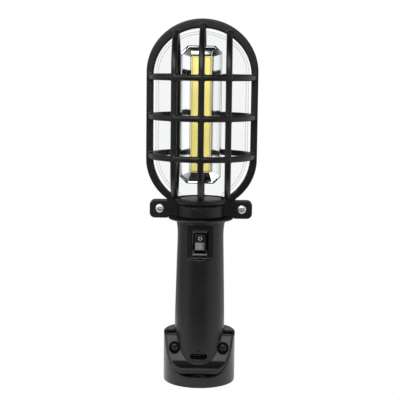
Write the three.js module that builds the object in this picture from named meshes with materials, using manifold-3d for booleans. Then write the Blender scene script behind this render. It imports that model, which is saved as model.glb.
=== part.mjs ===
// A rechargeable work light: a caged, clear-globed LED head on a straight grip, standing on a round base.
// Millimetres, +Z up. The lamp faces -Y, and the origin is the middle of the base's underside.
import * as THREE from "three";
import { mergeVertices } from "three/addons/utils/BufferGeometryUtils.js";
import Module from "manifold-3d";

const wasm = await Module();
wasm.setup();

// ---- Driving dimensions ------------------------------------------------------------------------------

const GAP = 0.3; // clearance between neighbouring pieces
const SEAM = 0.15; // half of the gap at the parting plane y = 0
const REACH = 100; // a cutting tool's reach beyond what it cuts

// Heights below are from a datum level above the underside, and the whole lamp is lifted at the end.
const DATUM = 1.5;
const CROWN_TOP = 288.6;

// Base drum
const BASE_RADIUS = 28.8;
const BASE_HEIGHT = 39;
const BASE_EDGE = 0.5; // the bevel round its upper edge
const BASE_WALL = 1.8;
const BASE_TOP_THICKNESS = 2;
const BASE_BOTTOM = 0.3 - DATUM; // the rubber pad stands 0.3 proud of the drum
const PAD_THICKNESS = 1.2;
const COVER_THICKNESS = 2;
const MAGNET_RADIUS = 18;
const MAGNET_THICKNESS = 3;
const MAGNET_PLATE_THICKNESS = 1.2;
const WINDOW_FLOOR = 7.3; // the lowest line of the drum's front cut-out

// Grip
const GRIP_OUTLINE = [
  [20, 9],
  [20, 44],
  [19.7, 64],
  [18.95, 96],
  [18.45, 116.5],
  [18.8, 124.4],
  [19.9, 130.1],
]; // [radius, height]
const GRIP_WALL = 2.2;
const FLANGE_RADIUS = 26;
const FLANGE_BOTTOM = 130.1;
const FLANGE_TOP = 132.1;
const SPIGOT_RADIUS = 16.9;
const SPIGOT_BORE = 14;
const SPIGOT_TOP = 137;

// Foot of the grip, which fills the drum's cut-out
const FOOT_TOP = 37;
const FOOT_PLATE = 2.4;
const FOOT_PROUD_RADIUS = 28.4;
const EAR_TOP_FRONT = -9.4;

// Base screws, whose axes run along Y
const BASE_SCREW_X = 19.3;
const BASE_SCREW_Z = 27.5;
const BASE_SCREW_SEAT = -10.8;
const BASE_SCREW_RECESS = 4.2;

// Rocker switch
const SWITCH_Z = 113;
const RECESS_WIDTH = 19.8;
const RECESS_BOTTOM = 100.2;
const RECESS_TOP = 127.6;
const RECESS_FLOOR = -15;
const PANEL_THICKNESS = 2; // of the wall behind the recess
const BEZEL_WIDTH = 13.2;
const BEZEL_HEIGHT = 20.2;
const BEZEL_FRONT = -17.1;
const SWITCH_BODY_WIDTH = 11.4;
const SWITCH_BODY_HEIGHT = 18.4;
const SWITCH_BODY_BACK = -2;
const ROCKER_WIDTH = 8.3;
const ROCKER_HALF_HEIGHT = 6.2;
const ROCKER_TILT = 12; // degrees each side of the middle
const ROCKER_PIVOT_DEPTH = 3; // behind the bezel's face

// Charging socket and its indicator
const USB_Z = 21.9;
const USB_SLOT_WIDTH = 13.2;
const USB_SLOT_HEIGHT = 4.3;
const USB_FRONT = -15.6;
const USB_BACK = -9.4;
const USB_TONGUE_FRONT = -14.9;
const INDICATOR_Z = 26.8;
const INDICATOR_RADIUS = 0.85;

// Battery
const CELL_RADIUS = 9.2;
const CELL_LENGTH = 65;
const CELL_BOTTOM = 27;

// The screw that joins the two halves of the grip, along Y between the cell and the switch
const HANDLE_SCREW_Z = 98;
const HANDLE_SCREW_SEAT = 14.6;
const HANDLE_SCREW_LENGTH = 20;
const HANDLE_HOLE_RADIUS = 1.5;

// Cage
const BAND_THICKNESS = 4; // of each half, along Y
const BAND_OUTER = {
  halfWidth: 44,
  topZ: 246.6, // where the straight sides end and the top arch begins
  topHeight: CROWN_TOP - 246.6,
  bottomZ: 178.5,
  bottomHeight: 40.7,
};
const BAND_INNER = {
  halfWidth: 38.55,
  topZ: 244.4,
  topHeight: 36.8,
  bottomZ: 180.9,
  bottomHeight: 38.7,
};
const BAR_RADIUS = 39.6; // the cage's plan radius, to the middle of its bars
const BAR_TOP_Z = 247.3; // where the bars' straight stretch ends and the crown begins
const BAR_TOP_HEIGHT = 35.2;
const BAR_BOTTOM_Z = 178;
const BAR_BOTTOM_HEIGHT = 35.5;
const BAR_OFFSETS = [-20.9, 0, 20.9];
const BAR_WIDTH = 4.8;
const BAR_DEPTH = 4.2;
const BAR_CHAMFER = 1.3;
const RING_HEIGHTS = [181, 212, 243];
const RING_WIDTH_RADIUS = 40.3;
const RING_HEIGHT = 4.9;

// Collar and ears that clamp the head to the grip. The ears reach down past the grip's flange.
const COLLAR_RADIUS = 19.6;
const COLLAR_BORE = 17.3;
const COLLAR_BOTTOM = FLANGE_TOP + GAP;
const COLLAR_RIM_RADIUS = 22.4;
const COLLAR_TOP = 147;
const EAR_REACH = 40.9;
const EAR_BOTTOM = 131;
const EAR_TOP = 145.6;
const EAR_CORNER = 4.2;
const EAR_SCREW_X = 32.6;
const EAR_SCREW_Z = 139;
const EAR_HOLE_RADIUS = 1.9;

// Clear globe
const GLOBE_RADIUS = 36.8;
const GLOBE_WALL = 1.8;
const GLOBE_TOP = 279;
const GLOBE_DOME_Z = 247;
const GLOBE_LOWER_Z = 183;
const GLOBE_LOWER_HEIGHT = 38.6;
const NECK_RADIUS = 19;
const NECK_BOTTOM = 142.6;
const NECK_TOP = 149.8;
const GASKET_THICKNESS = 1.2;

// LED module, whose tray sits a little to one side of the lamp's axis
const MODULE_X = -1;
const TRAY_WIDTH = 30.6;
const TRAY_BOTTOM = 159.3;
const TRAY_TOP = 266.6;
const TRAY_CORNER = 5.6;
const TRAY_FRONT = 2.4;
const TRAY_DEPTH = 6;
const TRAY_SKIN = 1.2;
const COB_WIDTH = 13.8;
const COB_BOTTOM = 168;
const COB_TOP = 258.5;
const PEDESTAL_RADIUS = 16.4;
const PEDESTAL_TOP = 146.6;
const POST_HALF_WIDTH = 2.3;
const POST_FRONT = 4.6;
const POST_BACK = 8.4;
const POST_OVERLAP = 1.4; // how far the post stands up behind the tray's sloped end
const LEAD_X = 1.4;
const LEAD_Y = 10.4;
const LEAD_BEHIND_SINK_Y = 13.2;
const LEAD_RADIUS = 0.7;

// ---- Materials ---------------------------------------------------------------------------------------

function finish(color, roughness, metalness = 0) {
  return new THREE.MeshStandardMaterial({ color, roughness, metalness });
}

const BLACK_PLASTIC = finish(0x1c1c1d, 0.5);
const BLACK_SWITCH = finish(0x141415, 0.35);
const BLACK_STEEL = finish(0x161616, 0.35, 0.8);
const BRIGHT_STEEL = finish(0xc8c8c8, 0.25, 1);
const DARK_RUBBER = finish(0x121212, 0.9);
const MIRROR = finish(0xf2f2f2, 0.05, 1);
const PHOSPHOR = finish(0xf5e04a, 0.6);
const BOARD_WHITE = finish(0xe8e8e4, 0.5);
const BOARD_GREEN = finish(0x1f5a35, 0.5);
const ALUMINIUM = finish(0xb9bbbd, 0.4, 1);
const NICKEL = finish(0xb5b0a4, 0.3, 1);
const BRASS = finish(0xc9a04a, 0.3, 1);
const CELL_WRAP = finish(0x2f6fae, 0.4);
const RED_WIRE = finish(0xa81e1e, 0.6);
const BLACK_WIRE = finish(0x151515, 0.6);
const CLEAR_PLASTIC = finish(0xf4f8fa, 0.03);
CLEAR_PLASTIC.transparent = true;
CLEAR_PLASTIC.opacity = 0.15;

// ---- Making and cutting solids -----------------------------------------------------------------------

const X = new THREE.Vector3(1, 0, 0);
const Y = new THREE.Vector3(0, 1, 0);
const Z = new THREE.Vector3(0, 0, 1);

// A closed three.js geometry as a solid that can be joined and cut.
function solid(geometry) {
  const bare = geometry.index ? geometry.toNonIndexed() : geometry.clone();
  bare.deleteAttribute("normal");
  bare.deleteAttribute("uv");
  const merged = mergeVertices(bare, 1e-4);
  const vertProperties = merged.attributes.position.array;
  const triVerts = new Uint32Array(merged.index.array);
  return new wasm.Manifold(new wasm.Mesh({ numProp: 3, vertProperties, triVerts }));
}

function joined(...solids) {
  return solids.reduce((whole, next) => whole.add(next));
}

function cut(from, ...tools) {
  return tools.reduce((rest, tool) => rest.subtract(tool), from);
}

function mesh(name, material, made) {
  const { vertProperties, triVerts } = made.getMesh();
  const geometry = new THREE.BufferGeometry();
  geometry.setAttribute("position", new THREE.BufferAttribute(vertProperties, 3));
  geometry.setIndex(new THREE.BufferAttribute(triVerts, 1));
  geometry.computeVertexNormals();
  const piece = new THREE.Mesh(geometry, material);
  piece.name = name;
  return piece;
}

// A box between two corners.
function block(low, high) {
  const size = high.map((value, i) => value - low[i]);
  const geometry = new THREE.BoxGeometry(...size);
  geometry.translate(...high.map((value, i) => (value + low[i]) / 2));
  return solid(geometry);
}

// A body of revolution about Z from [radius, height] points, going up its outside.
function turned(outline, segments = 32) {
  const points = outline.map(([radius, height]) => new THREE.Vector2(radius, height));
  const geometry = new THREE.LatheGeometry(points, segments);
  geometry.rotateX(Math.PI / 2);
  return solid(geometry);
}

// A round bar between two heights.
function disc(radius, bottom, top, segments = 32) {
  return turned([[0, bottom], [radius, bottom], [radius, top], [0, top]], segments);
}

// A ring of rectangular section.
function tube(inner, outer, bottom, top, segments = 32) {
  const outline = [[inner, bottom], [outer, bottom], [outer, top], [inner, top], [inner, bottom]];
  return turned(outline, segments);
}

// A round bar along Y, centred on x, z.
function barAlongY(radius, x, z, from, to, segments = 20) {
  const geometry = new THREE.CylinderGeometry(radius, radius, to - from, segments);
  geometry.translate(x, (from + to) / 2, z);
  return solid(geometry);
}

// A prism along X from an outline of [y, z] points.
function prismAlongX(outline, halfWidth) {
  const shape = new THREE.Shape(outline.map(([y, z]) => new THREE.Vector2(y, z)));
  const geometry = new THREE.ExtrudeGeometry(shape, { depth: 2 * halfWidth, bevelEnabled: false });
  geometry.translate(0, 0, -halfWidth);
  geometry.applyMatrix4(new THREE.Matrix4().makeBasis(Y, Z, X));
  return solid(geometry);
}

// A prism along Y from a shape in the XZ plane.
function prismAlongY(shape, from, to, curveSegments = 12) {
  const options = { depth: to - from, bevelEnabled: false, curveSegments };
  const geometry = new THREE.ExtrudeGeometry(shape, options);
  geometry.applyMatrix4(new THREE.Matrix4().makeBasis(X, Z, Y.clone().negate()));
  geometry.translate(0, to, 0);
  return solid(geometry);
}

// A section swept along a curve.
function swept(section, curve, steps) {
  const options = { steps, extrudePath: curve, bevelEnabled: false };
  return solid(new THREE.ExtrudeGeometry(section, options));
}

function frontHalf(whole) {
  return whole.intersect(block([-REACH, -REACH, -REACH], [REACH, -SEAM, 4 * REACH]));
}

function rearHalf(whole) {
  return whole.intersect(block([-REACH, SEAM, -REACH], [REACH, REACH, 4 * REACH]));
}

// A rounded rectangle in a plane, centred on a, b.
function roundedRectangle(a, b, width, height, corner) {
  const [left, right] = [a - width / 2, a + width / 2];
  const [low, high] = [b - height / 2, b + height / 2];
  const shape = new THREE.Shape();
  shape.moveTo(left + corner, low);
  shape.lineTo(right - corner, low);
  shape.absarc(right - corner, low + corner, corner, -Math.PI / 2, 0);
  shape.lineTo(right, high - corner);
  shape.absarc(right - corner, high - corner, corner, 0, Math.PI / 2);
  shape.lineTo(left + corner, high);
  shape.absarc(left + corner, high - corner, corner, Math.PI / 2, Math.PI);
  shape.lineTo(left, low + corner);
  shape.absarc(left + corner, low + corner, corner, Math.PI, 1.5 * Math.PI);
  return shape;
}

// An eight-sided section for a moulded bar.
function barSection(width, depth, chamfer) {
  const [w, d] = [width / 2, depth / 2];
  const corners = [
    [w - chamfer, -d],
    [w, -d + chamfer],
    [w, d - chamfer],
    [w - chamfer, d],
    [-w + chamfer, d],
    [-w, d - chamfer],
    [-w, -d + chamfer],
    [-w + chamfer, -d],
  ];
  return new THREE.Shape(corners.map(([a, b]) => new THREE.Vector2(a, b)));
}

// ---- Fasteners ---------------------------------------------------------------------------------------

// A pan-head cross-recess screw: its head's underside is at the origin and its head faces -Y.
function screw(headRadius, headHeight, shankRadius, length) {
  const outline = [
    [0, -length],
    [shankRadius * 0.5, -length],
    [shankRadius, -length + 1],
    [shankRadius, 0],
    [headRadius, 0],
    [headRadius, headHeight * 0.45],
    [headRadius * 0.8, headHeight * 0.85],
    [headRadius * 0.4, headHeight],
    [0, headHeight],
  ];
  const [slot, arm] = [headRadius * 0.13, headRadius * 0.62];
  const bottom = headHeight * 0.45;
  const body = cut(
    turned(outline, 14),
    block([-slot, -arm, bottom], [slot, arm, headHeight + 1]),
    block([-arm, -slot, bottom], [arm, slot, headHeight + 1]),
  );
  return body.rotate([90, 0, 0]);
}

function placed(piece, x, y, z) {
  piece.position.set(x, y, z);
  return piece;
}

// A hexagon nut about Y, its front face at the origin.
function hexNut(acrossFlats, bore, height) {
  const radius = acrossFlats / Math.sqrt(3);
  const geometry = new THREE.CylinderGeometry(radius, radius, height, 6);
  geometry.translate(0, height / 2, 0);
  return cut(solid(geometry), barAlongY(bore, 0, 0, -1, height + 1, 16));
}

// ---- Base --------------------------------------------------------------------------------------------

// The [y, z] outline of the space that the drum leaves open at the front.
function windowOutline(inset) {
  return [
    [-SEAM - inset, 2 * BASE_HEIGHT],
    [-SEAM - inset, FOOT_TOP - GAP + inset],
    [-8.2 - inset, FOOT_TOP - GAP - 0.2 + inset],
    [-13.9 - inset, 23.5],
    [-18 - inset, 15.8],
    [-21.4 - inset, 10.8 + inset],
    [-24 - inset, 8.4 + inset],
    [-27 - inset, WINDOW_FLOOR + inset],
    [-2 * BASE_RADIUS, WINDOW_FLOOR + inset],
    [-2 * BASE_RADIUS, 2 * BASE_HEIGHT],
  ];
}

function screwBoss(side) {
  const [inner, outer] = [16.4, BASE_RADIUS - BASE_WALL / 2];
  const [front, back, half] = [-8.2, -1, 4];
  const low = [side > 0 ? inner : -outer, front, BASE_SCREW_Z - half];
  const high = [side > 0 ? outer : -inner, back, BASE_SCREW_Z + half];
  return block(low, high).intersect(disc(outer, 0, BASE_HEIGHT));
}

function baseCup() {
  const inner = BASE_RADIUS - BASE_WALL;
  const mouth = GRIP_OUTLINE[0][0] + GAP;
  const shell = turned([
    [inner, BASE_BOTTOM],
    [BASE_RADIUS, BASE_BOTTOM],
    [BASE_RADIUS, BASE_HEIGHT - BASE_EDGE],
    [BASE_RADIUS - BASE_EDGE, BASE_HEIGHT],
    [mouth, BASE_HEIGHT],
    [mouth, BASE_HEIGHT - BASE_TOP_THICKNESS],
    [inner, BASE_HEIGHT - BASE_TOP_THICKNESS],
    [inner, BASE_BOTTOM],
  ], 48);
  const opened = cut(shell, prismAlongX(windowOutline(0), REACH));
  const pilotRadius = 1.6;
  const pilot = (side) => barAlongY(pilotRadius, side * BASE_SCREW_X, BASE_SCREW_Z, -REACH, 0, 12);
  return cut(joined(opened, screwBoss(-1), screwBoss(1)), pilot(-1), pilot(1));
}

function buildBase() {
  const base = new THREE.Group();
  const inner = BASE_RADIUS - BASE_WALL - GAP;
  const padTop = PAD_THICKNESS - DATUM;
  const cover = padTop + GAP;
  const magnet = cover + COVER_THICKNESS + GAP;
  const plate = magnet + MAGNET_THICKNESS + GAP;
  base.add(
    mesh("base_cup", BLACK_PLASTIC, baseCup()),
    mesh("base_pad", DARK_RUBBER, disc(inner, -DATUM, padTop)),
    mesh("base_cover", BLACK_PLASTIC, disc(inner, cover, cover + COVER_THICKNESS)),
    mesh("base_magnet", NICKEL, disc(MAGNET_RADIUS, magnet, magnet + MAGNET_THICKNESS, 24)),
    mesh("magnet_plate", BRIGHT_STEEL, disc(MAGNET_RADIUS, plate, plate + MAGNET_PLATE_THICKNESS, 24)),
  );
  for (const [side, name] of [[-1, "base_screw_right"], [1, "base_screw_left"]]) {
    const piece = mesh(name, BLACK_STEEL, screw(3.2, 2, 1.3, 8));
    base.add(placed(piece, side * BASE_SCREW_X, BASE_SCREW_SEAT - GAP, BASE_SCREW_Z));
  }
  return base;
}

// ---- Grip --------------------------------------------------------------------------------------------

function gripProfile(inset, samples) {
  const curve = new THREE.SplineCurve(GRIP_OUTLINE.map(([r, z]) => new THREE.Vector2(r - inset, z)));
  return curve.getPoints(samples).map((point) => [point.x, point.y]);
}

function gripTube() {
  const [foot, footHeight] = GRIP_OUTLINE[0];
  const [bevelWidth, bevelHeight] = [1.2, 0.8];
  const outside = [
    [0, footHeight],
    ...gripProfile(0, 9),
    [FLANGE_RADIUS - bevelWidth, FLANGE_BOTTOM],
    [FLANGE_RADIUS, FLANGE_BOTTOM + bevelHeight],
    [FLANGE_RADIUS, FLANGE_TOP],
    [SPIGOT_RADIUS, FLANGE_TOP],
    [SPIGOT_RADIUS, SPIGOT_TOP],
    [0, SPIGOT_TOP],
  ];
  const inside = [
    [0, footHeight - 1],
    [foot - GRIP_WALL, footHeight - 1],
    ...gripProfile(GRIP_WALL, 5),
    [SPIGOT_BORE, FLANGE_TOP],
    [SPIGOT_BORE, SPIGOT_TOP + 1],
    [0, SPIGOT_TOP + 1],
  ];
  return { outside: turned(outside), inside: turned(inside) };
}

// The foot: a slanted plate with two ears, ending below in a ledge.
function footOutline() {
  return [
    [0, FOOT_TOP],
    [EAR_TOP_FRONT, FOOT_TOP],
    [-14.6, 24.5],
    [-17.9, 18],
    [-20.6, 15.6],
    [-23.6, 14.1],
    [-24.5, 13],
    [-24.4, 9.4],
    [-23.6, 8.2],
    [0, 8.2],
  ];
}

function footHollow() {
  return [
    [1, FOOT_TOP - FOOT_PLATE],
    [EAR_TOP_FRONT + 1.7, FOOT_TOP - FOOT_PLATE],
    [-12.3, 23.8],
    [-15.6, 17],
    [-18.6, 13.6],
    [-21.6, 12.2],
    [-21.6, 0],
    [1, 0],
  ];
}

function foot() {
  const body = prismAlongX(footOutline(), REACH);
  const inside = body.intersect(disc(BASE_RADIUS - BASE_WALL - GAP, 0, BASE_HEIGHT));
  const proud = body
    .intersect(disc(FOOT_PROUD_RADIUS, 0, BASE_HEIGHT, 48))
    .intersect(prismAlongX(windowOutline(GAP), REACH));
  return joined(inside, proud);
}

// The round cups in which the base screws' heads sit.
function screwCups() {
  const [radius, front, back] = [5.4, -16, BASE_SCREW_SEAT + 2.2];
  const cup = (side) => barAlongY(radius, side * BASE_SCREW_X, BASE_SCREW_Z, front, back, 16);
  const inside = disc(BASE_RADIUS - BASE_WALL - GAP, 0, BASE_HEIGHT);
  return joined(cup(-1), cup(1)).intersect(prismAlongX(footOutline(), REACH)).intersect(inside);
}

function screwHoles() {
  const shankHoleRadius = 1.8;
  const bore = (radius, side, back) => barAlongY(radius, side * BASE_SCREW_X, BASE_SCREW_Z, -REACH, back, 16);
  const recesses = [-1, 1].map((side) => bore(BASE_SCREW_RECESS, side, BASE_SCREW_SEAT));
  const shankHoles = [-1, 1].map((side) => bore(shankHoleRadius, side, 0));
  return joined(...recesses, ...shankHoles);
}

function handleFront() {
  const grip = gripTube();
  const hollow = prismAlongX(footHollow(), REACH);
  const [bossRadius, bossFront] = [2.8, -17];
  const boss = barAlongY(bossRadius, 0, HANDLE_SCREW_Z, bossFront, 0, 16);
  const pilot = barAlongY(HANDLE_HOLE_RADIUS, 0, HANDLE_SCREW_Z, bossFront + 5, 1, 12);
  const footed = joined(cut(joined(grip.outside, foot()), hollow), screwCups());
  const panel = block(
    [-RECESS_WIDTH / 2, RECESS_FLOOR - GAP, RECESS_BOTTOM - PANEL_THICKNESS],
    [RECESS_WIDTH / 2, RECESS_FLOOR + PANEL_THICKNESS, RECESS_TOP + PANEL_THICKNESS],
  );
  const shell = cut(joined(cut(footed, grip.inside), panel, boss), pilot);
  const recess = block(
    [-RECESS_WIDTH / 2, -REACH, RECESS_BOTTOM],
    [RECESS_WIDTH / 2, RECESS_FLOOR, RECESS_TOP],
  );
  const [bodyX, bodyZ] = [SWITCH_BODY_WIDTH / 2 + GAP, SWITCH_BODY_HEIGHT / 2 + GAP];
  const switchHole = block([-bodyX, -REACH, SWITCH_Z - bodyZ], [bodyX, SWITCH_BODY_BACK, SWITCH_Z + bodyZ]);
  const slotShape = roundedRectangle(0, USB_Z, USB_SLOT_WIDTH, USB_SLOT_HEIGHT, USB_SLOT_HEIGHT / 2 - 0.01);
  const behindPlate = -10;
  const usbSlot = prismAlongY(slotShape, -REACH, behindPlate, 6);
  const indicator = barAlongY(INDICATOR_RADIUS, 0, INDICATOR_Z, -REACH, behindPlate, 12);
  return frontHalf(cut(shell, screwHoles(), recess, switchHole, usbSlot, indicator));
}

function handleRear() {
  const grip = gripTube();
  const lipInner = GRIP_OUTLINE[0][0] - GRIP_WALL / 2;
  const lipTop = BASE_HEIGHT - BASE_TOP_THICKNESS - GAP;
  const lip = tube(lipInner, BASE_RADIUS - BASE_WALL - GAP, lipTop - 2.3, lipTop);
  const [bossRadius, bossBack, recessRadius] = [4.4, 17, 3.2];
  const boss = barAlongY(bossRadius, 0, HANDLE_SCREW_Z, 0, bossBack, 20);
  const shell = joined(cut(joined(grip.outside, lip), grip.inside), boss);
  const recess = barAlongY(recessRadius, 0, HANDLE_SCREW_Z, HANDLE_SCREW_SEAT, REACH, 20);
  const hole = barAlongY(HANDLE_HOLE_RADIUS, 0, HANDLE_SCREW_Z, -1, REACH, 12);
  return rearHalf(cut(shell, recess, hole));
}

function buildHandle() {
  const handle = new THREE.Group();
  handle.add(mesh("handle_front", BLACK_PLASTIC, handleFront()));
  handle.add(mesh("handle_rear", BLACK_PLASTIC, handleRear()));
  const fixing = mesh("handle_screw", BLACK_STEEL, screw(2.6, 1.5, 1.2, HANDLE_SCREW_LENGTH));
  fixing.rotation.z = Math.PI;
  handle.add(placed(fixing, 0, HANDLE_SCREW_SEAT + GAP, HANDLE_SCREW_Z));
  return handle;
}

// ---- Switch ------------------------------------------------------------------------------------------

const PIVOT_Y = BEZEL_FRONT + ROCKER_PIVOT_DEPTH;
const PIVOT_PIN_RADIUS = 0.8;
const PIVOT_PIN_LENGTH = 10;
const ROCKER_CREASE = -3.5; // the rocker's face at its middle, from the pivot
const SWITCH_OPENING_HALF_HEIGHT = 7.4;

function switchHousing() {
  const [corner, bodyFront] = [0.8, RECESS_FLOOR - 1];
  const shape = roundedRectangle(0, SWITCH_Z, BEZEL_WIDTH, BEZEL_HEIGHT, corner);
  const bezel = prismAlongY(shape, BEZEL_FRONT, RECESS_FLOOR - GAP, 3);
  const [bodyX, bodyZ] = [SWITCH_BODY_WIDTH / 2, SWITCH_BODY_HEIGHT / 2];
  const body = block([-bodyX, bodyFront, SWITCH_Z - bodyZ], [bodyX, SWITCH_BODY_BACK, SWITCH_Z + bodyZ]);
  const well = block(
    [-ROCKER_WIDTH / 2 - GAP, -REACH, SWITCH_Z - SWITCH_OPENING_HALF_HEIGHT],
    [ROCKER_WIDTH / 2 + GAP, SWITCH_BODY_BACK - 2, SWITCH_Z + SWITCH_OPENING_HALF_HEIGHT],
  );
  const axleRadius = PIVOT_PIN_RADIUS + GAP;
  const axle = new THREE.CylinderGeometry(axleRadius, axleRadius, PIVOT_PIN_LENGTH + 2 * GAP, 12);
  axle.rotateZ(Math.PI / 2);
  axle.translate(0, PIVOT_Y, SWITCH_Z);
  return cut(joined(bezel, body), well, solid(axle));
}

// The rocker about its own pivot, in the middle of its travel: +y is into the switch.
function rockerBody() {
  const slope = Math.tan(THREE.MathUtils.degToRad(ROCKER_TILT));
  const tip = ROCKER_CREASE - ROCKER_HALF_HEIGHT * slope;
  const [shoulder, back, backHalfHeight] = [0.4, 2.6, 3];
  const outline = [
    [ROCKER_CREASE, 0],
    [tip, ROCKER_HALF_HEIGHT],
    [shoulder, ROCKER_HALF_HEIGHT],
    [back, backHalfHeight],
    [back, -backHalfHeight],
    [shoulder, -ROCKER_HALF_HEIGHT],
    [tip, -ROCKER_HALF_HEIGHT],
  ];
  const pin = new THREE.CylinderGeometry(PIVOT_PIN_RADIUS, PIVOT_PIN_RADIUS, PIVOT_PIN_LENGTH, 12);
  pin.rotateZ(Math.PI / 2);
  return joined(prismAlongX(outline, ROCKER_WIDTH / 2), solid(pin));
}

function buildSwitch() {
  const group = new THREE.Group();
  group.add(mesh("switch_housing", BLACK_SWITCH, switchHousing()));
  const rocker = mesh("rocker", BLACK_SWITCH, rockerBody());
  rocker.rotation.x = THREE.MathUtils.degToRad(-ROCKER_TILT);
  group.add(placed(rocker, 0, PIVOT_Y, SWITCH_Z));
  const [halfWidth, halfThickness, length, offset] = [2.4, 0.4, 7, 5];
  const start = SWITCH_BODY_BACK + GAP;
  for (const [side, name] of [[1, "switch_terminal_upper"], [-1, "switch_terminal_lower"]]) {
    const z = SWITCH_Z + side * offset;
    const low = [-halfWidth, start, z - halfThickness];
    group.add(mesh(name, BRASS, block(low, [halfWidth, start + length, z + halfThickness])));
  }
  return group;
}

// ---- Battery and charging ----------------------------------------------------------------------------

function buildPower() {
  const power = new THREE.Group();
  const cellTop = CELL_BOTTOM + CELL_LENGTH;
  const [buttonRadius, buttonHeight] = [2.8, 1];
  const cell = joined(
    disc(CELL_RADIUS, CELL_BOTTOM, cellTop - buttonHeight, 28),
    disc(buttonRadius, cellTop - 2 * buttonHeight, cellTop, 16),
  );
  const [tabX, tabY, tabZ] = [3, 5, 0.4];
  const tabs = [[CELL_BOTTOM - GAP - tabZ, "battery_tab_lower"], [cellTop + GAP, "battery_tab_upper"]];
  power.add(mesh("battery_cell", CELL_WRAP, cell));
  for (const [z, name] of tabs) {
    power.add(mesh(name, NICKEL, block([-tabX, -tabY, z], [tabX, tabY, z + tabZ])));
  }
  const [boardX, boardFront, boardBack] = [8, -13.6, 3];
  const [boardBottom, boardTop] = [USB_Z - 4.6, USB_Z - 3];
  const board = block([-boardX, boardFront, boardBottom], [boardX, boardBack, boardTop]);
  power.add(mesh("charge_board", BOARD_GREEN, board));
  power.add(mesh("usb_port", BLACK_STEEL, usbShell()));
  power.add(mesh("usb_tongue", BLACK_SWITCH, usbTongue()));
  power.add(mesh("indicator_pipe", CLEAR_PLASTIC, indicatorPipe()));
  return power;
}

function usbShell() {
  const [width, height, skin] = [8.9, 3.2, 0.3];
  const outer = roundedRectangle(0, USB_Z, width, height, 1.55);
  const inner = roundedRectangle(0, USB_Z, width - 2 * skin, height - 2 * skin, 1.25);
  const shell = prismAlongY(outer, USB_FRONT, USB_BACK, 3);
  return cut(shell, prismAlongY(inner, USB_FRONT - 1, USB_BACK - 2 * skin, 3));
}

function usbTongue() {
  const [halfWidth, halfHeight] = [3.3, 0.35];
  const back = USB_BACK - 1;
  return block([-halfWidth, USB_TONGUE_FRONT, USB_Z - halfHeight], [halfWidth, back, USB_Z + halfHeight]);
}

// A thin light guide with a wider root inside the grip.
function indicatorPipe() {
  const [front, shoulder, back] = [-18.6, -16.6, -12];
  const rootRadius = 1.2;
  return joined(
    barAlongY(INDICATOR_RADIUS - GAP, 0, INDICATOR_Z, front, shoulder + 1, 10),
    barAlongY(rootRadius, 0, INDICATOR_Z, shoulder, back, 12),
  );
}

// ---- Cage --------------------------------------------------------------------------------------------

// One upright bar: the cage's side profile at a fixed x, in front of the parting plane.
class BarCurve extends THREE.Curve {
  constructor(x) {
    super();
    this.x = x;
  }

  // t runs from the collar (0) over the straight stretch to the crown (1).
  getPoint(t, target = new THREE.Vector3()) {
    const [lowEnd, highStart] = [0.36, 0.62];
    const [collarAngle, crownAngle] = [0.56, 0.05];
    let radius = BAR_RADIUS;
    let z;
    if (t < lowEnd) {
      const start = Math.max(Math.asin(this.sideSine()), collarAngle);
      const angle = start + (Math.PI / 2 - start) * (t / lowEnd);
      radius = BAR_RADIUS * Math.sin(angle);
      z = BAR_BOTTOM_Z - BAR_BOTTOM_HEIGHT * Math.cos(angle);
    } else if (t < highStart) {
      z = BAR_BOTTOM_Z + (BAR_TOP_Z - BAR_BOTTOM_Z) * ((t - lowEnd) / (highStart - lowEnd));
    } else {
      const end = Math.max(Math.asin(this.sideSine()), crownAngle);
      const angle = Math.PI / 2 + (end - Math.PI / 2) * ((t - highStart) / (1 - highStart));
      radius = BAR_RADIUS * Math.sin(angle);
      z = BAR_TOP_Z + BAR_TOP_HEIGHT * Math.cos(angle);
    }
    return target.set(this.x, -Math.sqrt(Math.max(radius * radius - this.x * this.x, 1)), z);
  }

  sideSine() {
    return Math.abs(this.x) / BAR_RADIUS;
  }
}

// One ring's front half.
class RingCurve extends THREE.Curve {
  constructor(z) {
    super();
    this.z = z;
  }

  getPoint(t, target = new THREE.Vector3()) {
    const setBack = 0.008; // its ends lie inside the band, short of the parting plane
    const angle = Math.PI * (1 + setBack + (1 - 2 * setBack) * t);
    return target.set(RING_WIDTH_RADIUS * Math.cos(angle), BAR_RADIUS * Math.sin(angle), this.z);
  }
}

// One edge of the band: straight sides between two half-ellipses.
function arched({ halfWidth, topZ, topHeight, bottomZ, bottomHeight }) {
  const shape = new THREE.Shape();
  shape.absellipse(0, topZ, halfWidth, topHeight, 0, Math.PI);
  shape.absellipse(0, bottomZ, halfWidth, bottomHeight, Math.PI, 2 * Math.PI);
  return shape;
}

function band() {
  const whole = cut(
    prismAlongY(arched(BAND_OUTER), -BAND_THICKNESS, BAND_THICKNESS, 9),
    prismAlongY(arched(BAND_INNER), -REACH, REACH, 9),
  );
  const aboveCollar = block([-REACH, -REACH, COLLAR_TOP - 3], [REACH, REACH, 2 * CROWN_TOP]);
  return whole.intersect(aboveCollar);
}

function collar() {
  const [flareHeight, rimHeight] = [2.6, 2.4];
  return turned([
    [0, COLLAR_BOTTOM],
    [COLLAR_RADIUS, COLLAR_BOTTOM],
    [COLLAR_RADIUS, COLLAR_TOP - rimHeight - flareHeight],
    [COLLAR_RIM_RADIUS, COLLAR_TOP - rimHeight],
    [COLLAR_RIM_RADIUS, COLLAR_TOP],
    [0, COLLAR_TOP],
  ]);
}

// The stepped bore that holds the grip's spigot below and the globe's neck above.
function collarBore() {
  const seat = NECK_BOTTOM - GASKET_THICKNESS - 2 * GAP;
  return turned([
    [0, COLLAR_BOTTOM - 1],
    [COLLAR_BORE, COLLAR_BOTTOM - 1],
    [COLLAR_BORE, seat],
    [NECK_RADIUS + GAP, seat],
    [NECK_RADIUS + GAP, COLLAR_TOP + 1],
    [0, COLLAR_TOP + 1],
  ]);
}

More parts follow.
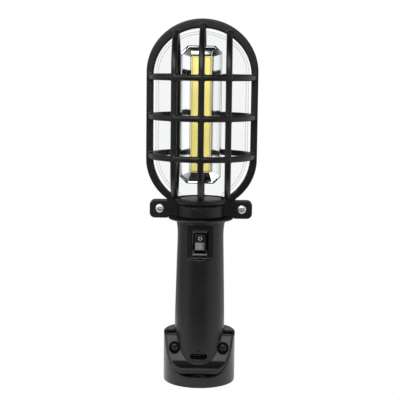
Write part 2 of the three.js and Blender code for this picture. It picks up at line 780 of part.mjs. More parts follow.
function ears() {
  const height = EAR_TOP - EAR_BOTTOM;
  const shape = roundedRectangle(0, (EAR_TOP + EAR_BOTTOM) / 2, 2 * EAR_REACH, height, EAR_CORNER);
  const plate = prismAlongY(shape, -BAND_THICKNESS, BAND_THICKNESS, 4);
  const hole = (side) => barAlongY(EAR_HOLE_RADIUS, side * EAR_SCREW_X, EAR_SCREW_Z, -REACH, REACH, 16);
  const flangeRoom = disc(FLANGE_RADIUS + GAP, 0, COLLAR_BOTTOM);
  return cut(plate, flangeRoom, hole(-1), hole(1));
}

function bars() {
  const section = barSection(BAR_DEPTH, BAR_WIDTH, BAR_CHAMFER);
  return joined(...BAR_OFFSETS.map((x) => swept(section, new BarCurve(x), 16)));
}

function rings() {
  const section = barSection(RING_HEIGHT, BAR_DEPTH, BAR_CHAMFER);
  return joined(...RING_HEIGHTS.map((z) => swept(section, new RingCurve(z), 11)));
}

function cageHalf(half, grille) {
  const globeRoom = turned(globeOutside(2 * GAP), 28);
  return half(cut(joined(band(), collar(), ears(), grille), collarBore(), globeRoom));
}

function buildCage() {
  const cage = new THREE.Group();
  const grille = joined(bars(), rings());
  cage.add(mesh("cage_front", BLACK_PLASTIC, cageHalf(frontHalf, grille)));
  cage.add(mesh("cage_rear", BLACK_PLASTIC, cageHalf(rearHalf, grille.mirror([0, 1, 0]))));
  for (const [side, suffix] of [[-1, "right"], [1, "left"]]) {
    const fixing = mesh(`cage_screw_${suffix}`, BRIGHT_STEEL, screw(3.5, 2.1, 1.5, 11.6));
    cage.add(placed(fixing, side * EAR_SCREW_X, -BAND_THICKNESS - GAP, EAR_SCREW_Z));
    const nut = mesh(`cage_nut_${suffix}`, BRIGHT_STEEL, hexNut(5.5, 1.8, 2.4));
    cage.add(placed(nut, side * EAR_SCREW_X, BAND_THICKNESS + GAP, EAR_SCREW_Z));
  }
  return cage;
}

// ---- Globe -------------------------------------------------------------------------------------------

// The globe's outside as [radius, height] points, swollen by some clearance, from neck to crown.
function globeOutside(swell) {
  const points = [[0, NECK_BOTTOM - swell], [NECK_RADIUS + swell, NECK_BOTTOM - swell]];
  const neckAngle = Math.asin(NECK_RADIUS / GLOBE_RADIUS);
  const steps = 5;
  for (let i = 0; i <= steps; i += 1) {
    const angle = neckAngle + (Math.PI / 2 - neckAngle) * (i / steps);
    const radius = (GLOBE_RADIUS + swell) * Math.sin(angle);
    points.push([radius, GLOBE_LOWER_Z - (GLOBE_LOWER_HEIGHT + swell) * Math.cos(angle)]);
  }
  for (let i = 0; i < steps; i += 1) {
    const angle = (Math.PI / 2) * (1 - i / steps);
    const height = GLOBE_TOP - GLOBE_DOME_Z + swell;
    points.push([(GLOBE_RADIUS + swell) * Math.sin(angle), GLOBE_DOME_Z + height * Math.cos(angle)]);
  }
  points.push([0, GLOBE_TOP + swell]);
  return points;
}

function globe() {
  const outside = turned(globeOutside(0), 28);
  const inside = turned(globeOutside(-GLOBE_WALL), 28);
  const mouth = disc(NECK_RADIUS - GLOBE_WALL, NECK_BOTTOM - 1, NECK_TOP, 28);
  return cut(outside, inside, mouth);
}

function buildGlobe() {
  const group = new THREE.Group();
  const top = NECK_BOTTOM - GAP;
  const gasket = tube(NECK_RADIUS - 2, NECK_RADIUS - 0.1, top - GASKET_THICKNESS, top, 24);
  group.add(mesh("lens_globe", CLEAR_PLASTIC, globe()));
  group.add(mesh("lens_gasket", DARK_RUBBER, gasket));
  return group;
}

// ---- LED module --------------------------------------------------------------------------------------

const MODULE_MIDDLE = (TRAY_TOP + TRAY_BOTTOM) / 2;
const TRAY_HEIGHT = TRAY_TOP - TRAY_BOTTOM;
const TRAY_BACK = TRAY_FRONT + TRAY_DEPTH;

// A rectangle with cut corners in the XZ plane, as eight points in order.
function cornered(width, height, corner) {
  const [w, h] = [width / 2, height / 2];
  return [
    [w, -h + corner],
    [w, h - corner],
    [w - corner, h],
    [-w + corner, h],
    [-w, h - corner],
    [-w, -h + corner],
    [-w + corner, -h],
    [w - corner, -h],
  ];
}

// A frustum along Y between two outlines of the same number of points.
function frustum(front, frontY, back, backY) {
  const count = front.length;
  const position = [];
  const corner = ([x, z], y) => [x, y, MODULE_MIDDLE + z];
  for (let i = 0; i < count; i += 1) {
    const j = (i + 1) % count;
    const [a, b] = [corner(front[i], frontY), corner(front[j], frontY)];
    const [c, d] = [corner(back[i], backY), corner(back[j], backY)];
    position.push(...a, ...c, ...b, ...b, ...c, ...d);
    const [frontMiddle, backMiddle] = [corner([0, 0], frontY), corner([0, 0], backY)];
    position.push(...frontMiddle, ...a, ...b, ...backMiddle, ...d, ...c);
  }
  const geometry = new THREE.BufferGeometry();
  geometry.setAttribute("position", new THREE.Float32BufferAttribute(position, 3));
  return solid(geometry);
}

function reflectorTray() {
  const rim = cornered(TRAY_WIDTH, TRAY_HEIGHT, TRAY_CORNER);
  const floorCorner = 0.2;
  const floor = cornered(COB_WIDTH + 2 * GAP, COB_TOP - COB_BOTTOM + 2 * GAP, floorCorner);
  const thicker = (value) => value + Math.sign(value) * TRAY_SKIN;
  const grown = (outline) => outline.map(([x, z]) => [thicker(x), thicker(z)]);
  const outer = frustum(grown(rim), TRAY_FRONT, grown(floor), TRAY_BACK);
  const inner = frustum(rim, TRAY_FRONT, floor, TRAY_BACK);
  return cut(outer, inner);
}

// The plug in the globe's neck, with a slim post up to the back of the tray's lower end.
function pedestal() {
  const bottom = SPIGOT_TOP + GAP;
  const plug = disc(PEDESTAL_RADIUS, bottom, PEDESTAL_TOP);
  const post = block(
    [-POST_HALF_WIDTH, POST_FRONT, PEDESTAL_TOP - 1],
    [POST_HALF_WIDTH, POST_BACK, TRAY_BOTTOM + POST_OVERLAP],
  );
  const leadHole = (x) => disc(LEAD_RADIUS + 0.5, bottom - 1, PEDESTAL_TOP + 1, 12).translate([x, LEAD_Y, 0]);
  return cut(joined(plug, post), leadHole(-LEAD_X), leadHole(LEAD_X));
}

// A lead from behind the heat sink down through the plug into the grip.
function wire(x) {
  const route = new THREE.CatmullRomCurve3([
    new THREE.Vector3(x, LEAD_BEHIND_SINK_Y, TRAY_BOTTOM + 12),
    new THREE.Vector3(x, LEAD_BEHIND_SINK_Y + 0.2, TRAY_BOTTOM + 2),
    new THREE.Vector3(x, LEAD_Y, PEDESTAL_TOP + 4),
    new THREE.Vector3(x, LEAD_Y, SPIGOT_TOP - 4),
  ]);
  const section = new THREE.Shape();
  section.absarc(0, 0, LEAD_RADIUS, 0, 2 * Math.PI);
  const round = new THREE.Shape(section.getPoints(3).slice(0, -1));
  return swept(round, route, 10);
}

function buildModule() {
  const module = new THREE.Group();
  const head = new THREE.Group();
  head.position.x = MODULE_X;
  module.add(head);
  const [boardMargin, boardThickness, stripThickness] = [0.6, 1.2, 1];
  const [sinkMargin, sinkThickness] = [2, 1.6];
  const [boardX, stripX] = [COB_WIDTH / 2 + boardMargin, COB_WIDTH / 2];
  const boardBack = TRAY_BACK + GAP + boardThickness;
  head.add(mesh("reflector_tray", MIRROR, reflectorTray()));
  head.add(mesh("cob_board", BOARD_WHITE, block(
    [-boardX, TRAY_BACK + GAP, COB_BOTTOM - boardMargin],
    [boardX, boardBack, COB_TOP + boardMargin],
  )));
  head.add(mesh("cob_strip", PHOSPHOR, block(
    [-stripX, TRAY_BACK - stripThickness, COB_BOTTOM],
    [stripX, TRAY_BACK, COB_TOP],
  )));
  head.add(mesh("heat_sink", ALUMINIUM, block(
    [-boardX, boardBack + GAP, COB_BOTTOM - sinkMargin],
    [boardX, boardBack + GAP + sinkThickness, COB_TOP + sinkMargin],
  )));
  module.add(mesh("module_pedestal", BLACK_PLASTIC, pedestal()));
  module.add(mesh("led_lead_positive", RED_WIRE, wire(LEAD_X)));
  module.add(mesh("led_lead_negative", BLACK_WIRE, wire(-LEAD_X)));
  return module;
}

// ---- The lamp ----------------------------------------------------------------------------------------

const lamp = new THREE.Group();
lamp.add(buildBase(), buildHandle(), buildSwitch(), buildPower(), buildCage(), buildGlobe(), buildModule());
lamp.position.z = DATUM;

export default lamp;
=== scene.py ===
"""Looks for the caged work light: moulded cage, grip and base, clear globe, mirrored LED tray.

Lengths in the making functions are millimetres, and meshes are written in metres.
The lamp faces -Y, and the origin is the middle of the base's underside. The making functions measure
heights from DATUM above that, and named() moves each finished piece up by as much.
"""

import math

import bmesh
import bpy
from mathutils import Matrix, Vector


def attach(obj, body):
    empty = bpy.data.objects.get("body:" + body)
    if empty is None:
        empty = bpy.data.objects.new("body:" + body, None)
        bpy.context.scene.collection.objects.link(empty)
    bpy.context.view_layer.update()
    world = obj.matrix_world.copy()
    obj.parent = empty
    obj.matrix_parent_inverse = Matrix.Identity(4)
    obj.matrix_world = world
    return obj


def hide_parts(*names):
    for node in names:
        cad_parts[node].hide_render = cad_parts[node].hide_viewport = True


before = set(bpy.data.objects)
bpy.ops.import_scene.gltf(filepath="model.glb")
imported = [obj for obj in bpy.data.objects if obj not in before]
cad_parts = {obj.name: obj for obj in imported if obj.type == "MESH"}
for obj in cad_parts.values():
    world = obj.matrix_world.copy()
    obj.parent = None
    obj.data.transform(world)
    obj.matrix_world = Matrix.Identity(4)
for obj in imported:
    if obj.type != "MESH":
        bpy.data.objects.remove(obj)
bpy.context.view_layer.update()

MM = 0.001
GAP = 0.3  # clearance between neighbouring pieces
SEAM = 0.02  # half of the gap where two halves meet, less than in the CAD so that no light shows through
REACH = 100  # far enough to clear the lamp
VOXEL = 0.45
EASE_ROUNDS = 6
KEPT_FACES = 0.5

DATUM = 1.5
CROWN_TOP = 288.6

# Base drum
BASE_RADIUS = 28.8
BASE_HEIGHT = 39
BASE_WALL = 1.8
BASE_TOP_THICKNESS = 2
BASE_BOTTOM = 0.3 - DATUM
BASE_EDGE = 0.5
WINDOW_FLOOR = 7.3
BOSS_INNER_X = 16.4
BOSS_FRONT = -8.2
BOSS_BACK = -1
BOSS_HALF_HEIGHT = 4
BOSS_HOLE_RADIUS = 1.6

# Grip
# [radius, height] points up the outside
GRIP_OUTLINE = [(20, 9), (20, 44), (19.7, 64), (18.95, 96), (18.45, 116.5), (18.8, 124.4), (19.9, 130.1)]
GRIP_WALL = 2.2
FLANGE_RADIUS = 26
FLANGE_BOTTOM = 130.1
FLANGE_TOP = 132.1
FLANGE_BEVEL_WIDTH = 1.2
FLANGE_BEVEL_HEIGHT = 0.8
SPIGOT_RADIUS = 16.9
SPIGOT_BORE = 14
SPIGOT_TOP = 137
FOOT_TOP = 37
FOOT_PLATE = 2.4
FOOT_PROUD_RADIUS = 28.4
FOOT_BEFORE = -40  # clear of the foot, in front of it
SOCKET_BEFORE = -30
SOCKET_BACK = -10
EAR_TOP_FRONT = -9.4
BASE_SCREW_X = 19.3
BASE_SCREW_Z = 27.5
BASE_SCREW_SEAT = -10.8
BASE_SCREW_RECESS = 4.2
BASE_SCREW_HOLE_RADIUS = 1.8
CUP_RADIUS = 5.4
CUP_FRONT = -16
CUP_FLOOR = 2.2
HANDLE_SCREW_Z = 98
HANDLE_SCREW_SEAT = 14.6
HANDLE_SCREW_RECESS = 3.2
HANDLE_SCREW_HOLE_RADIUS = 1.5
HANDLE_HOLE_END = -12
FRONT_POST_RADIUS = 2.8
REAR_POST_RADIUS = 4.4
POST_REACH = 17
GRIP_BEHIND = 30
LIP_HEIGHT = 2.3

# Switch
SWITCH_Z = 113
RECESS_WIDTH = 19.8
RECESS_BOTTOM = 100.2
RECESS_TOP = 127.6
RECESS_FLOOR = -15
PANEL_THICKNESS = 2
BEZEL_WIDTH = 13.2
BEZEL_HEIGHT = 20.2
BEZEL_FRONT = -17.1
BEZEL_CORNER = 0.8
BEZEL_CHAMFER_WIDTH = 2
BEZEL_CHAMFER_DEPTH = 1.2
SWITCH_BODY_WIDTH = 11.4
SWITCH_BODY_HEIGHT = 18.4
SWITCH_BODY_FRONT = -16
SWITCH_BODY_BACK = -2
SWITCH_BODY_FLOOR = 2
SWITCH_OPENING_HALF_HEIGHT = 7.4
ROCKER_WIDTH = 8.3
ROCKER_HALF_HEIGHT = 6.2
ROCKER_TILT = 12
ROCKER_PIVOT_Y = -14.1
ROCKER_CREASE = -3.5
ROCKER_END_BACK = 0.4
ROCKER_BACK = 2.6
ROCKER_BACK_HALF_HEIGHT = 3
MARK_PROUD = 0.06
MARK_SUNK = 0.2
OFF_MARK_OUTER = 2.8
OFF_MARK_INNER = 2.2
OFF_MARK_ALONG = 3.1
ON_MARK_WIDTH = 0.4
ON_MARK_HEIGHT = 2.8
ON_MARK_ALONG = -2.9

# Charging socket
USB_Z = 21.9
USB_SLOT_WIDTH = 13.2
USB_SLOT_HEIGHT = 4.3
USB_FRONT = -15.6
USB_BACK = -9.4
USB_SHELL_WIDTH = 8.9
USB_SHELL_HEIGHT = 3.2
USB_SHELL_CORNER = 1.55
USB_SHELL_SKIN = 0.3
USB_TONGUE_FRONT = -14.9
USB_TONGUE_HALF_WIDTH = 3.3
USB_TONGUE_HALF_HEIGHT = 0.35
INDICATOR_Z = 26.8
INDICATOR_RADIUS = 0.85

# Cage
BAND_THICKNESS = 4
BAND_OUTER = {
    "half_width": 44,
    "top_z": 246.6,
    "top_height": CROWN_TOP - 246.6,
    "bottom_z": 178.5,
    "bottom_height": 40.7,
}
BAND_INNER = {
    "half_width": 38.55,
    "top_z": 244.4,
    "top_height": 36.8,
    "bottom_z": 180.9,
    "bottom_height": 38.7,
}
BAR_RADIUS = 39.6
BAR_TOP_Z = 247.3
BAR_TOP_HEIGHT = 35.2
BAR_BOTTOM_Z = 178
BAR_BOTTOM_HEIGHT = 35.5
BAR_OFFSETS = (-20.9, 0, 20.9)
BAR_WIDTH = 4.8
BAR_DEPTH = 4.2
BAR_CORNER = 1.8
BAR_LEAST_LOWER_ANGLE = 0.56  # radians off the axis, where a bar ends inside the collar or the band
BAR_LEAST_UPPER_ANGLE = 0.05
RING_HEIGHTS = (181, 212, 243)
RING_WIDTH_RADIUS = 40.3
RING_HEIGHT = 4.9
RING_START = 1.008  # half turns
RING_SWEEP = 0.984
COLLAR_RADIUS = 19.6
COLLAR_BORE = 17.3
COLLAR_BOTTOM = FLANGE_TOP + GAP
COLLAR_RIM_RADIUS = 22.4
COLLAR_TOP = 147
COLLAR_FLARE_HEIGHT = 5
COLLAR_RIM_HEIGHT = 2.4
EAR_REACH = 40.9
EAR_BOTTOM = 131
EAR_TOP = 145.6
EAR_CORNER = 4.2
EAR_SCREW_X = 32.6
EAR_SCREW_Z = 139
EAR_HOLE_RADIUS = 1.9

# Globe
GLOBE_RADIUS = 36.8
GLOBE_WALL = 1.8
GLOBE_TOP = 279
GLOBE_DOME_Z = 247
GLOBE_LOWER_Z = 183
GLOBE_LOWER_HEIGHT = 38.6
NECK_RADIUS = 19
NECK_BOTTOM = 142.6
NECK_TOP = 149.8
GASKET_THICKNESS = 1.2

# LED module
MODULE_X = -1
TRAY_WIDTH = 30.6
TRAY_BOTTOM = 159.3
TRAY_TOP = 266.6
TRAY_CORNER = 5.6
TRAY_FRONT = 2.4
TRAY_DEPTH = 6
TRAY_SKIN = 1.2
TRAY_BACK = TRAY_FRONT + TRAY_DEPTH
TRAY_RIM_SLOPE = 0.9
TRAY_FLOOR_CORNER = 0.2
MODULE_MIDDLE = (TRAY_TOP + TRAY_BOTTOM) / 2
COB_WIDTH = 13.8
COB_BOTTOM = 168
COB_TOP = 258.5
PEDESTAL_RADIUS = 16.4
PEDESTAL_TOP = 146.6
POST_HALF_WIDTH = 2.3
POST_FRONT = 4.6
POST_BACK = 8.4
POST_OVERLAP = 1.4
LEAD_X = 1.4
LEAD_Y = 10.4
LEAD_RADIUS = 0.7
LEAD_CLEARANCE = 0.5

# Screws
EAR_SCREW = {"head_radius": 3.5, "head_height": 2.1, "shank_radius": 1.5, "length": 11.6}
FOOT_SCREW = {"head_radius": 3.2, "head_height": 2, "shank_radius": 1.3, "length": 8}
GRIP_SCREW = {"head_radius": 2.6, "head_height": 1.5, "shank_radius": 1.2, "length": 20}
CROSS_TURN = 0.35


# ---- Making meshes -------------------------------------------------------------------------------


def new_object(name, vertices, faces):
    mesh = bpy.data.meshes.new(name)
    mesh.from_pydata([[c * MM for c in v] for v in vertices], [], faces)
    tidy = bmesh.new()
    tidy.from_mesh(mesh)
    bmesh.ops.remove_doubles(tidy, verts=tidy.verts, dist=1e-7)
    bmesh.ops.recalc_face_normals(tidy, faces=tidy.faces)
    if tidy.calc_volume(signed=True) < 0:
        bmesh.ops.reverse_faces(tidy, faces=tidy.faces)
    tidy.to_mesh(mesh)
    tidy.free()
    piece = bpy.data.objects.new(name, mesh)
    bpy.context.scene.collection.objects.link(piece)
    return piece


def turned(outline, segments=160):
    """A body of revolution about Z from closed [radius, height] points."""
    vertices = []
    rows = []
    for radius, z in outline:
        if radius < 1e-6:
            rows.append([len(vertices)] * segments)
            vertices.append((0, 0, z))
        else:
            rows.append(list(range(len(vertices), len(vertices) + segments)))
            for i in range(segments):
                a = 2 * math.pi * i / segments
                vertices.append((radius * math.cos(a), radius * math.sin(a), z))
    faces = []
    for k in range(len(rows)):
        low, high = rows[k], rows[(k + 1) % len(rows)]
        for i in range(segments):
            j = (i + 1) % segments
            corners = list(dict.fromkeys([low[i], low[j], high[j], high[i]]))
            if len(corners) > 2:
                faces.append(corners)
    return new_object("turned", vertices, faces)


def disc(radius, bottom, top, segments=160):
    return turned([(0, bottom), (radius, bottom), (radius, top), (0, top)], segments)


def prism(outline, low, high, axis):
    """A prism along an axis from an outline in the other two: [y, z] along x, and [x, z] along y."""
    count = len(outline)
    vertices = []
    for level in (low, high):
        for a, b in outline:
            vertices.append((level, a, b) if axis == "x" else (a, level, b))
    faces = [list(range(count)), list(range(2 * count - 1, count - 1, -1))]
    for i in range(count):
        j = (i + 1) % count
        faces.append([i, j, count + j, count + i])
    return new_object("prism", vertices, faces)


def tapered(first, last):
    """A solid between two outlines of four corners each."""
    faces = [[3, 2, 1, 0], [4, 5, 6, 7]]
    faces += [[i, (i + 1) % 4, 4 + (i + 1) % 4, 4 + i] for i in range(4)]
    return new_object("tapered", [*first, *last], faces)


def block(low, high):
    """A box between two opposite corners."""
    outline = [(low[0], low[2]), (high[0], low[2]), (high[0], high[2]), (low[0], high[2])]
    return prism(outline, low[1], high[1], "y")


def bar_along_y(radius, x, z, low, high):
    segments = 48
    outline = []
    for i in range(segments):
        a = 2 * math.pi * i / segments
        outline.append((x + radius * math.cos(a), z + radius * math.sin(a)))
    return prism(outline, low, high, "y")


def rounded_rectangle(a, b, width, height, corner, steps=10):
    points = []
    for quarter, (sa, sb) in enumerate([(1, 1), (-1, 1), (-1, -1), (1, -1)]):
        centre = (a + sa * (width / 2 - corner), b + sb * (height / 2 - corner))
        for i in range(steps + 1):
            angle = math.pi / 2 * (quarter + i / steps)
            points.append((centre[0] + corner * math.cos(angle), centre[1] + corner * math.sin(angle)))
    return points


def swept(section, path, across):
    """A section of [a, b] points swept along a path: b runs along the fixed direction across."""
    count, steps = len(section), len(path)
    across = Vector(across)
    vertices = []
    for k in range(steps):
        here = Vector(path[k])
        tangent = (Vector(path[min(k + 1, steps - 1)]) - Vector(path[max(k - 1, 0)])).normalized()
        outward = tangent.cross(across).normalized()
        for a, b in section:
            vertices.append(here + outward * a + across * b)
    faces = [list(range(count)), list(range(len(vertices) - 1, len(vertices) - count - 1, -1))]
    for k in range(steps - 1):
        for i in range(count):
            j = (i + 1) % count
            faces.append([k * count + i, k * count + j, (k + 1) * count + j, (k + 1) * count + i])
    return new_object("swept", vertices, faces)


def settle(piece):
    """Replaces a piece's mesh by what its modifiers make of it."""
    bpy.context.view_layer.update()
    seen = piece.evaluated_get(bpy.context.evaluated_depsgraph_get())
    made = bpy.data.meshes.new_from_object(seen)
    piece.modifiers.clear()
    piece.data = made
    return piece


def combine(whole, tools, operation):
    for tool in tools:
        boolean = whole.modifiers.new("combine", "BOOLEAN")
        boolean.operation = operation
        boolean.solver = "MANIFOLD"
        boolean.object = tool
    settle(whole)
    for tool in tools:
        bpy.data.objects.remove(tool)
    return whole


def joined(whole, *parts):
    return combine(whole, parts, "UNION")


def cut(whole, *tools):
    return combine(whole, tools, "DIFFERENCE")


def common(whole, *tools):
    return combine(whole, tools, "INTERSECT")


def copied(piece):
    twin = piece.copy()
    twin.data = piece.data.copy()
    bpy.context.scene.collection.objects.link(twin)
    return twin


def front_half(piece):
    return common(piece, block((-REACH, -REACH, -REACH), (REACH, -SEAM, 4 * REACH)))


def rear_half(piece):
    return common(piece, block((-REACH, SEAM, -REACH), (REACH, REACH, 4 * REACH)))


def moulded(piece):
    """Gives a piece the small fillets of a moulding: an even skin of small faces, eased and thinned."""
    remesh = piece.modifiers.new("skin", "REMESH")
    remesh.mode = "VOXEL"
    remesh.voxel_size = VOXEL * MM
    ease = piece.modifiers.new("ease", "SMOOTH")
    ease.factor = 0.5
    ease.iterations = EASE_ROUNDS
    thin = piece.modifiers.new("thin", "DECIMATE")
    thin.ratio = KEPT_FACES
    settle(piece)
    return smooth(piece)


def bevelled(piece, width, segments=3, angle=30):
    bevel = piece.modifiers.new("bevel", "BEVEL")
    bevel.width = width * MM
    bevel.segments = segments
    bevel.limit_method = "ANGLE"
    bevel.angle_limit = math.radians(angle)
    settle(piece)
    return smooth_by_angle(piece)


def smooth(piece):
    piece.data.polygons.foreach_set("use_smooth", [True] * len(piece.data.polygons))
    return piece


def smooth_by_angle(piece, degrees=35):
    smooth(piece)
    piece.data.set_sharp_from_angle(angle=math.radians(degrees))
    return piece


def named(piece, name, material, nodes=(), body="root"):
    """Finishes a piece: its place, look, body, and the CAD nodes it stands in for."""
    piece.name = name
    piece.data.name = name
    piece.data.transform(Matrix.Translation((0, 0, DATUM * MM)))
    piece.data.materials.clear()
    piece.data.materials.append(material)
    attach(piece, body)
    if nodes:
        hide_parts(*nodes)
    return piece


# ---- Materials -----------------------------------------------------------------------------------


class Nodes:
    """A short way to write a material's nodes."""

    def __init__(self, name):
        self.material = bpy.data.materials.new(name)
        self.material.use_nodes = True
        self.tree = self.material.node_tree
        self.shader = self.tree.nodes["Principled BSDF"]
        self.output = self.tree.nodes["Material Output"]
        self.place = self.tree.nodes.new("ShaderNodeTexCoord").outputs["Object"]

    def link(self, a, b):
        self.tree.links.new(a, b)

    def noise(self, per_metre, detail=2.0, roughness=0.5):
        node = self.tree.nodes.new("ShaderNodeTexNoise")
        node.inputs["Scale"].default_value = per_metre
        node.inputs["Detail"].default_value = detail
        node.inputs["Roughness"].default_value = roughness
        self.link(self.place, node.inputs["Vector"])
        return node.outputs["Fac"]

    def spread(self, value, low, high, from_low=0.3, from_high=0.7):
        node = self.tree.nodes.new("ShaderNodeMapRange")
        node.inputs["From Min"].default_value = from_low
        node.inputs["From Max"].default_value = from_high
        node.inputs["To Min"].default_value = low
        node.inputs["To Max"].default_value = high
        self.link(value, node.inputs["Value"])
        return node.outputs["Result"]

    def blend(self, factor, first, second):
        node = self.tree.nodes.new("ShaderNodeMix")
        node.data_type = "RGBA"
        colours = [s for s in node.inputs if s.type == "RGBA"]
        for socket, value in zip(colours, (first, second)):
            if isinstance(value, bpy.types.NodeSocket):
                self.link(value, socket)
            else:
                socket.default_value = (*value, 1)
        self.link(factor, node.inputs[0])
        return next(s for s in node.outputs if s.type == "RGBA")

    def bump(self, height, strength, distance_mm, below=None):
        node = self.tree.nodes.new("ShaderNodeBump")
        node.inputs["Strength"].default_value = strength
        node.inputs["Distance"].default_value = distance_mm * MM
        self.link(height, node.inputs["Height"])
        if below is not None:
            self.link(below, node.inputs["Normal"])
        return node.outputs["Normal"]

    def set(self, **values):
        for key, value in values.items():
            self.shader.inputs[key.replace("_", " ")].default_value = value


def moulded_plastic(name, dark, light, roughness, grain=0.35, depth=0.018, wear=0.04, specular=0.25):
    """Spark-eroded plastic: a fine grain, uneven sheen and a faint mottling of its colour."""
    m = Nodes(name)
    m.set(Specular_IOR_Level=specular)
    mottling = m.noise(90, detail=4, roughness=0.6)
    m.link(m.blend(m.spread(mottling, 0, 1), dark, light), m.shader.inputs["Base Color"])
    sheen = m.spread(m.noise(45, detail=3), roughness - wear, roughness + wear)
    m.link(sheen, m.shader.inputs["Roughness"])
    grains = m.bump(m.noise(1000 / grain, detail=2, roughness=0.6), 0.6, depth)
    waves = m.bump(m.noise(60, detail=1), 0.25, 0.05, grains)
    m.link(waves, m.shader.inputs["Normal"])
    return m.material


def metal(name, dark, light, low, high, scratch=0.006, per_metre=900):
    m = Nodes(name)
    m.set(Metallic=1.0)
    clouds = m.noise(per_metre / 6, detail=4)
    m.link(m.blend(m.spread(clouds, 0, 1), dark, light), m.shader.inputs["Base Color"])
    m.link(m.spread(m.noise(per_metre / 3, detail=3), low, high), m.shader.inputs["Roughness"])
    m.link(m.bump(m.noise(per_metre * 2, detail=3), 0.4, scratch), m.shader.inputs["Normal"])
    return m.material


def clear_plastic():
    """A thin clear wall: nearly invisible face on, and a grey line where it is seen edge on, which is
    painted shade standing in for what refraction shows there.
    """
    m = Nodes("clear_polycarbonate")
    # The grey base colour, mixed in only near the edges, is painted shade
    m.set(Base_Color=(0.4, 0.41, 0.42, 1))
    m.link(m.spread(m.noise(120, detail=3), 0.03, 0.08), m.shader.inputs["Roughness"])
    m.link(m.bump(m.noise(35, detail=1), 0.06, 0.05), m.shader.inputs["Normal"])
    edge = m.tree.nodes.new("ShaderNodeLayerWeight")
    share = m.spread(edge.outputs["Facing"], 0.0, 0.5, 0.74, 1.0)
    through = m.tree.nodes.new("ShaderNodeBsdfTransparent")
    through.inputs["Color"].default_value = (0.975, 0.98, 0.98, 1)
    mix = m.tree.nodes.new("ShaderNodeMixShader")
    m.link(share, mix.inputs[0])
    m.link(through.outputs["BSDF"], mix.inputs[1])
    m.link(m.shader.outputs["BSDF"], mix.inputs[2])
    m.link(mix.outputs["Shader"], m.output.inputs["Surface"])
    return m.material


def mirror_coat():
    m = Nodes("vacuum_mirror_coat")
    m.set(Metallic=1.0)
    clouds = m.spread(m.noise(70, detail=3), 0, 1)
    m.link(m.blend(clouds, (0.95, 0.95, 0.96), (0.98, 0.98, 0.98)), m.shader.inputs["Base Color"])
    m.link(m.spread(m.noise(150, detail=3), 0.03, 0.09), m.shader.inputs["Roughness"])
    m.link(m.bump(m.noise(90, detail=2), 0.15, 0.06), m.shader.inputs["Normal"])
    return m.material


def phosphor_gel():
    m = Nodes("phosphor_gel")
    # The faint emission is a painted glow: the LEDs are not switched on
    m.set(Emission_Color=(1.0, 0.84, 0.25, 1), Emission_Strength=0.14)
    specks = m.spread(m.noise(2600, detail=3), 0, 1, 0.35, 0.65)
    clouds = m.spread(m.noise(150, detail=2), 0, 1)
    base = m.blend(clouds, (0.95, 0.82, 0.22), (0.98, 0.88, 0.3))
    speckled = m.blend(m.spread(specks, 0.0, 0.35, 0, 1), base, (0.82, 0.62, 0.12))
    m.link(speckled, m.shader.inputs["Base Color"])
    m.link(m.spread(m.noise(300, detail=2), 0.35, 0.5), m.shader.inputs["Roughness"])
    m.link(m.bump(m.noise(500, detail=2), 0.3, 0.05), m.shader.inputs["Normal"])
    m.set(Subsurface_Weight=0.2, Subsurface_Scale=0.001)
    return m.material


def soft_matt(name, dark, light, roughness, per_metre=700, depth=0.03, wear=0.06):
    m = Nodes(name)
    clouds = m.spread(m.noise(per_metre / 5, detail=4), 0, 1)
    m.link(m.blend(clouds, dark, light), m.shader.inputs["Base Color"])
    sheen = m.spread(m.noise(per_metre / 8, detail=2), roughness - wear, roughness + wear)
    m.link(sheen, m.shader.inputs["Roughness"])
    m.link(m.bump(m.noise(per_metre * 2, detail=3), 0.5, depth), m.shader.inputs["Normal"])
    return m.material


BLACK = moulded_plastic("black_grained_plastic", (0.004, 0.004, 0.0044), (0.0066, 0.0066, 0.007), 0.35)
SWITCH = moulded_plastic("black_switch_plastic", (0.0035, 0.0035, 0.0038), (0.005, 0.005, 0.0054), 0.22,
                         grain=0.25, depth=0.006, specular=0.38)
RUBBER = soft_matt("black_rubber", (0.008, 0.008, 0.008), (0.014, 0.014, 0.014), 0.8)
WHITE_MARK = soft_matt("white_print", (0.5, 0.5, 0.5), (0.58, 0.58, 0.58), 0.5, depth=0.005)
# The on mark is the same white print as the off mark, made grey as painted shade
SHADED_WHITE_MARK = soft_matt("white_print_painted_shade", (0.16, 0.16, 0.16), (0.24, 0.24, 0.24), 0.5, depth=0.005)
BOARD_WHITE = soft_matt("white_board", (0.74, 0.74, 0.72), (0.82, 0.82, 0.8), 0.4, depth=0.01)
BOARD_GREEN = soft_matt("green_board", (0.003, 0.014, 0.006), (0.005, 0.02, 0.009), 0.45, depth=0.02)
WRAP = soft_matt("cell_wrap", (0.02, 0.12, 0.32), (0.03, 0.16, 0.4), 0.35, depth=0.01)
RED = soft_matt("red_insulation", (0.4, 0.015, 0.012), (0.5, 0.025, 0.02), 0.5, depth=0.01)
BLACK_WIRE = soft_matt("black_insulation", (0.01, 0.01, 0.01), (0.018, 0.018, 0.018), 0.5, depth=0.01)
STEEL = metal("bright_zinc_steel", (0.5, 0.5, 0.51), (0.68, 0.68, 0.68), 0.3, 0.45)
BLACK_STEEL = metal("black_oxide_steel", (0.02, 0.02, 0.022), (0.045, 0.045, 0.048), 0.28, 0.5)
NICKEL = metal("nickel_plate", (0.6, 0.56, 0.5), (0.72, 0.68, 0.6), 0.2, 0.35)
BRASS = metal("brass", (0.6, 0.42, 0.15), (0.75, 0.54, 0.22), 0.2, 0.36)
ALUMINIUM = metal("extruded_aluminium", (0.55, 0.56, 0.57), (0.68, 0.69, 0.7), 0.3, 0.48)
CLEAR = clear_plastic()
MIRROR = mirror_coat()
PHOSPHOR = phosphor_gel()

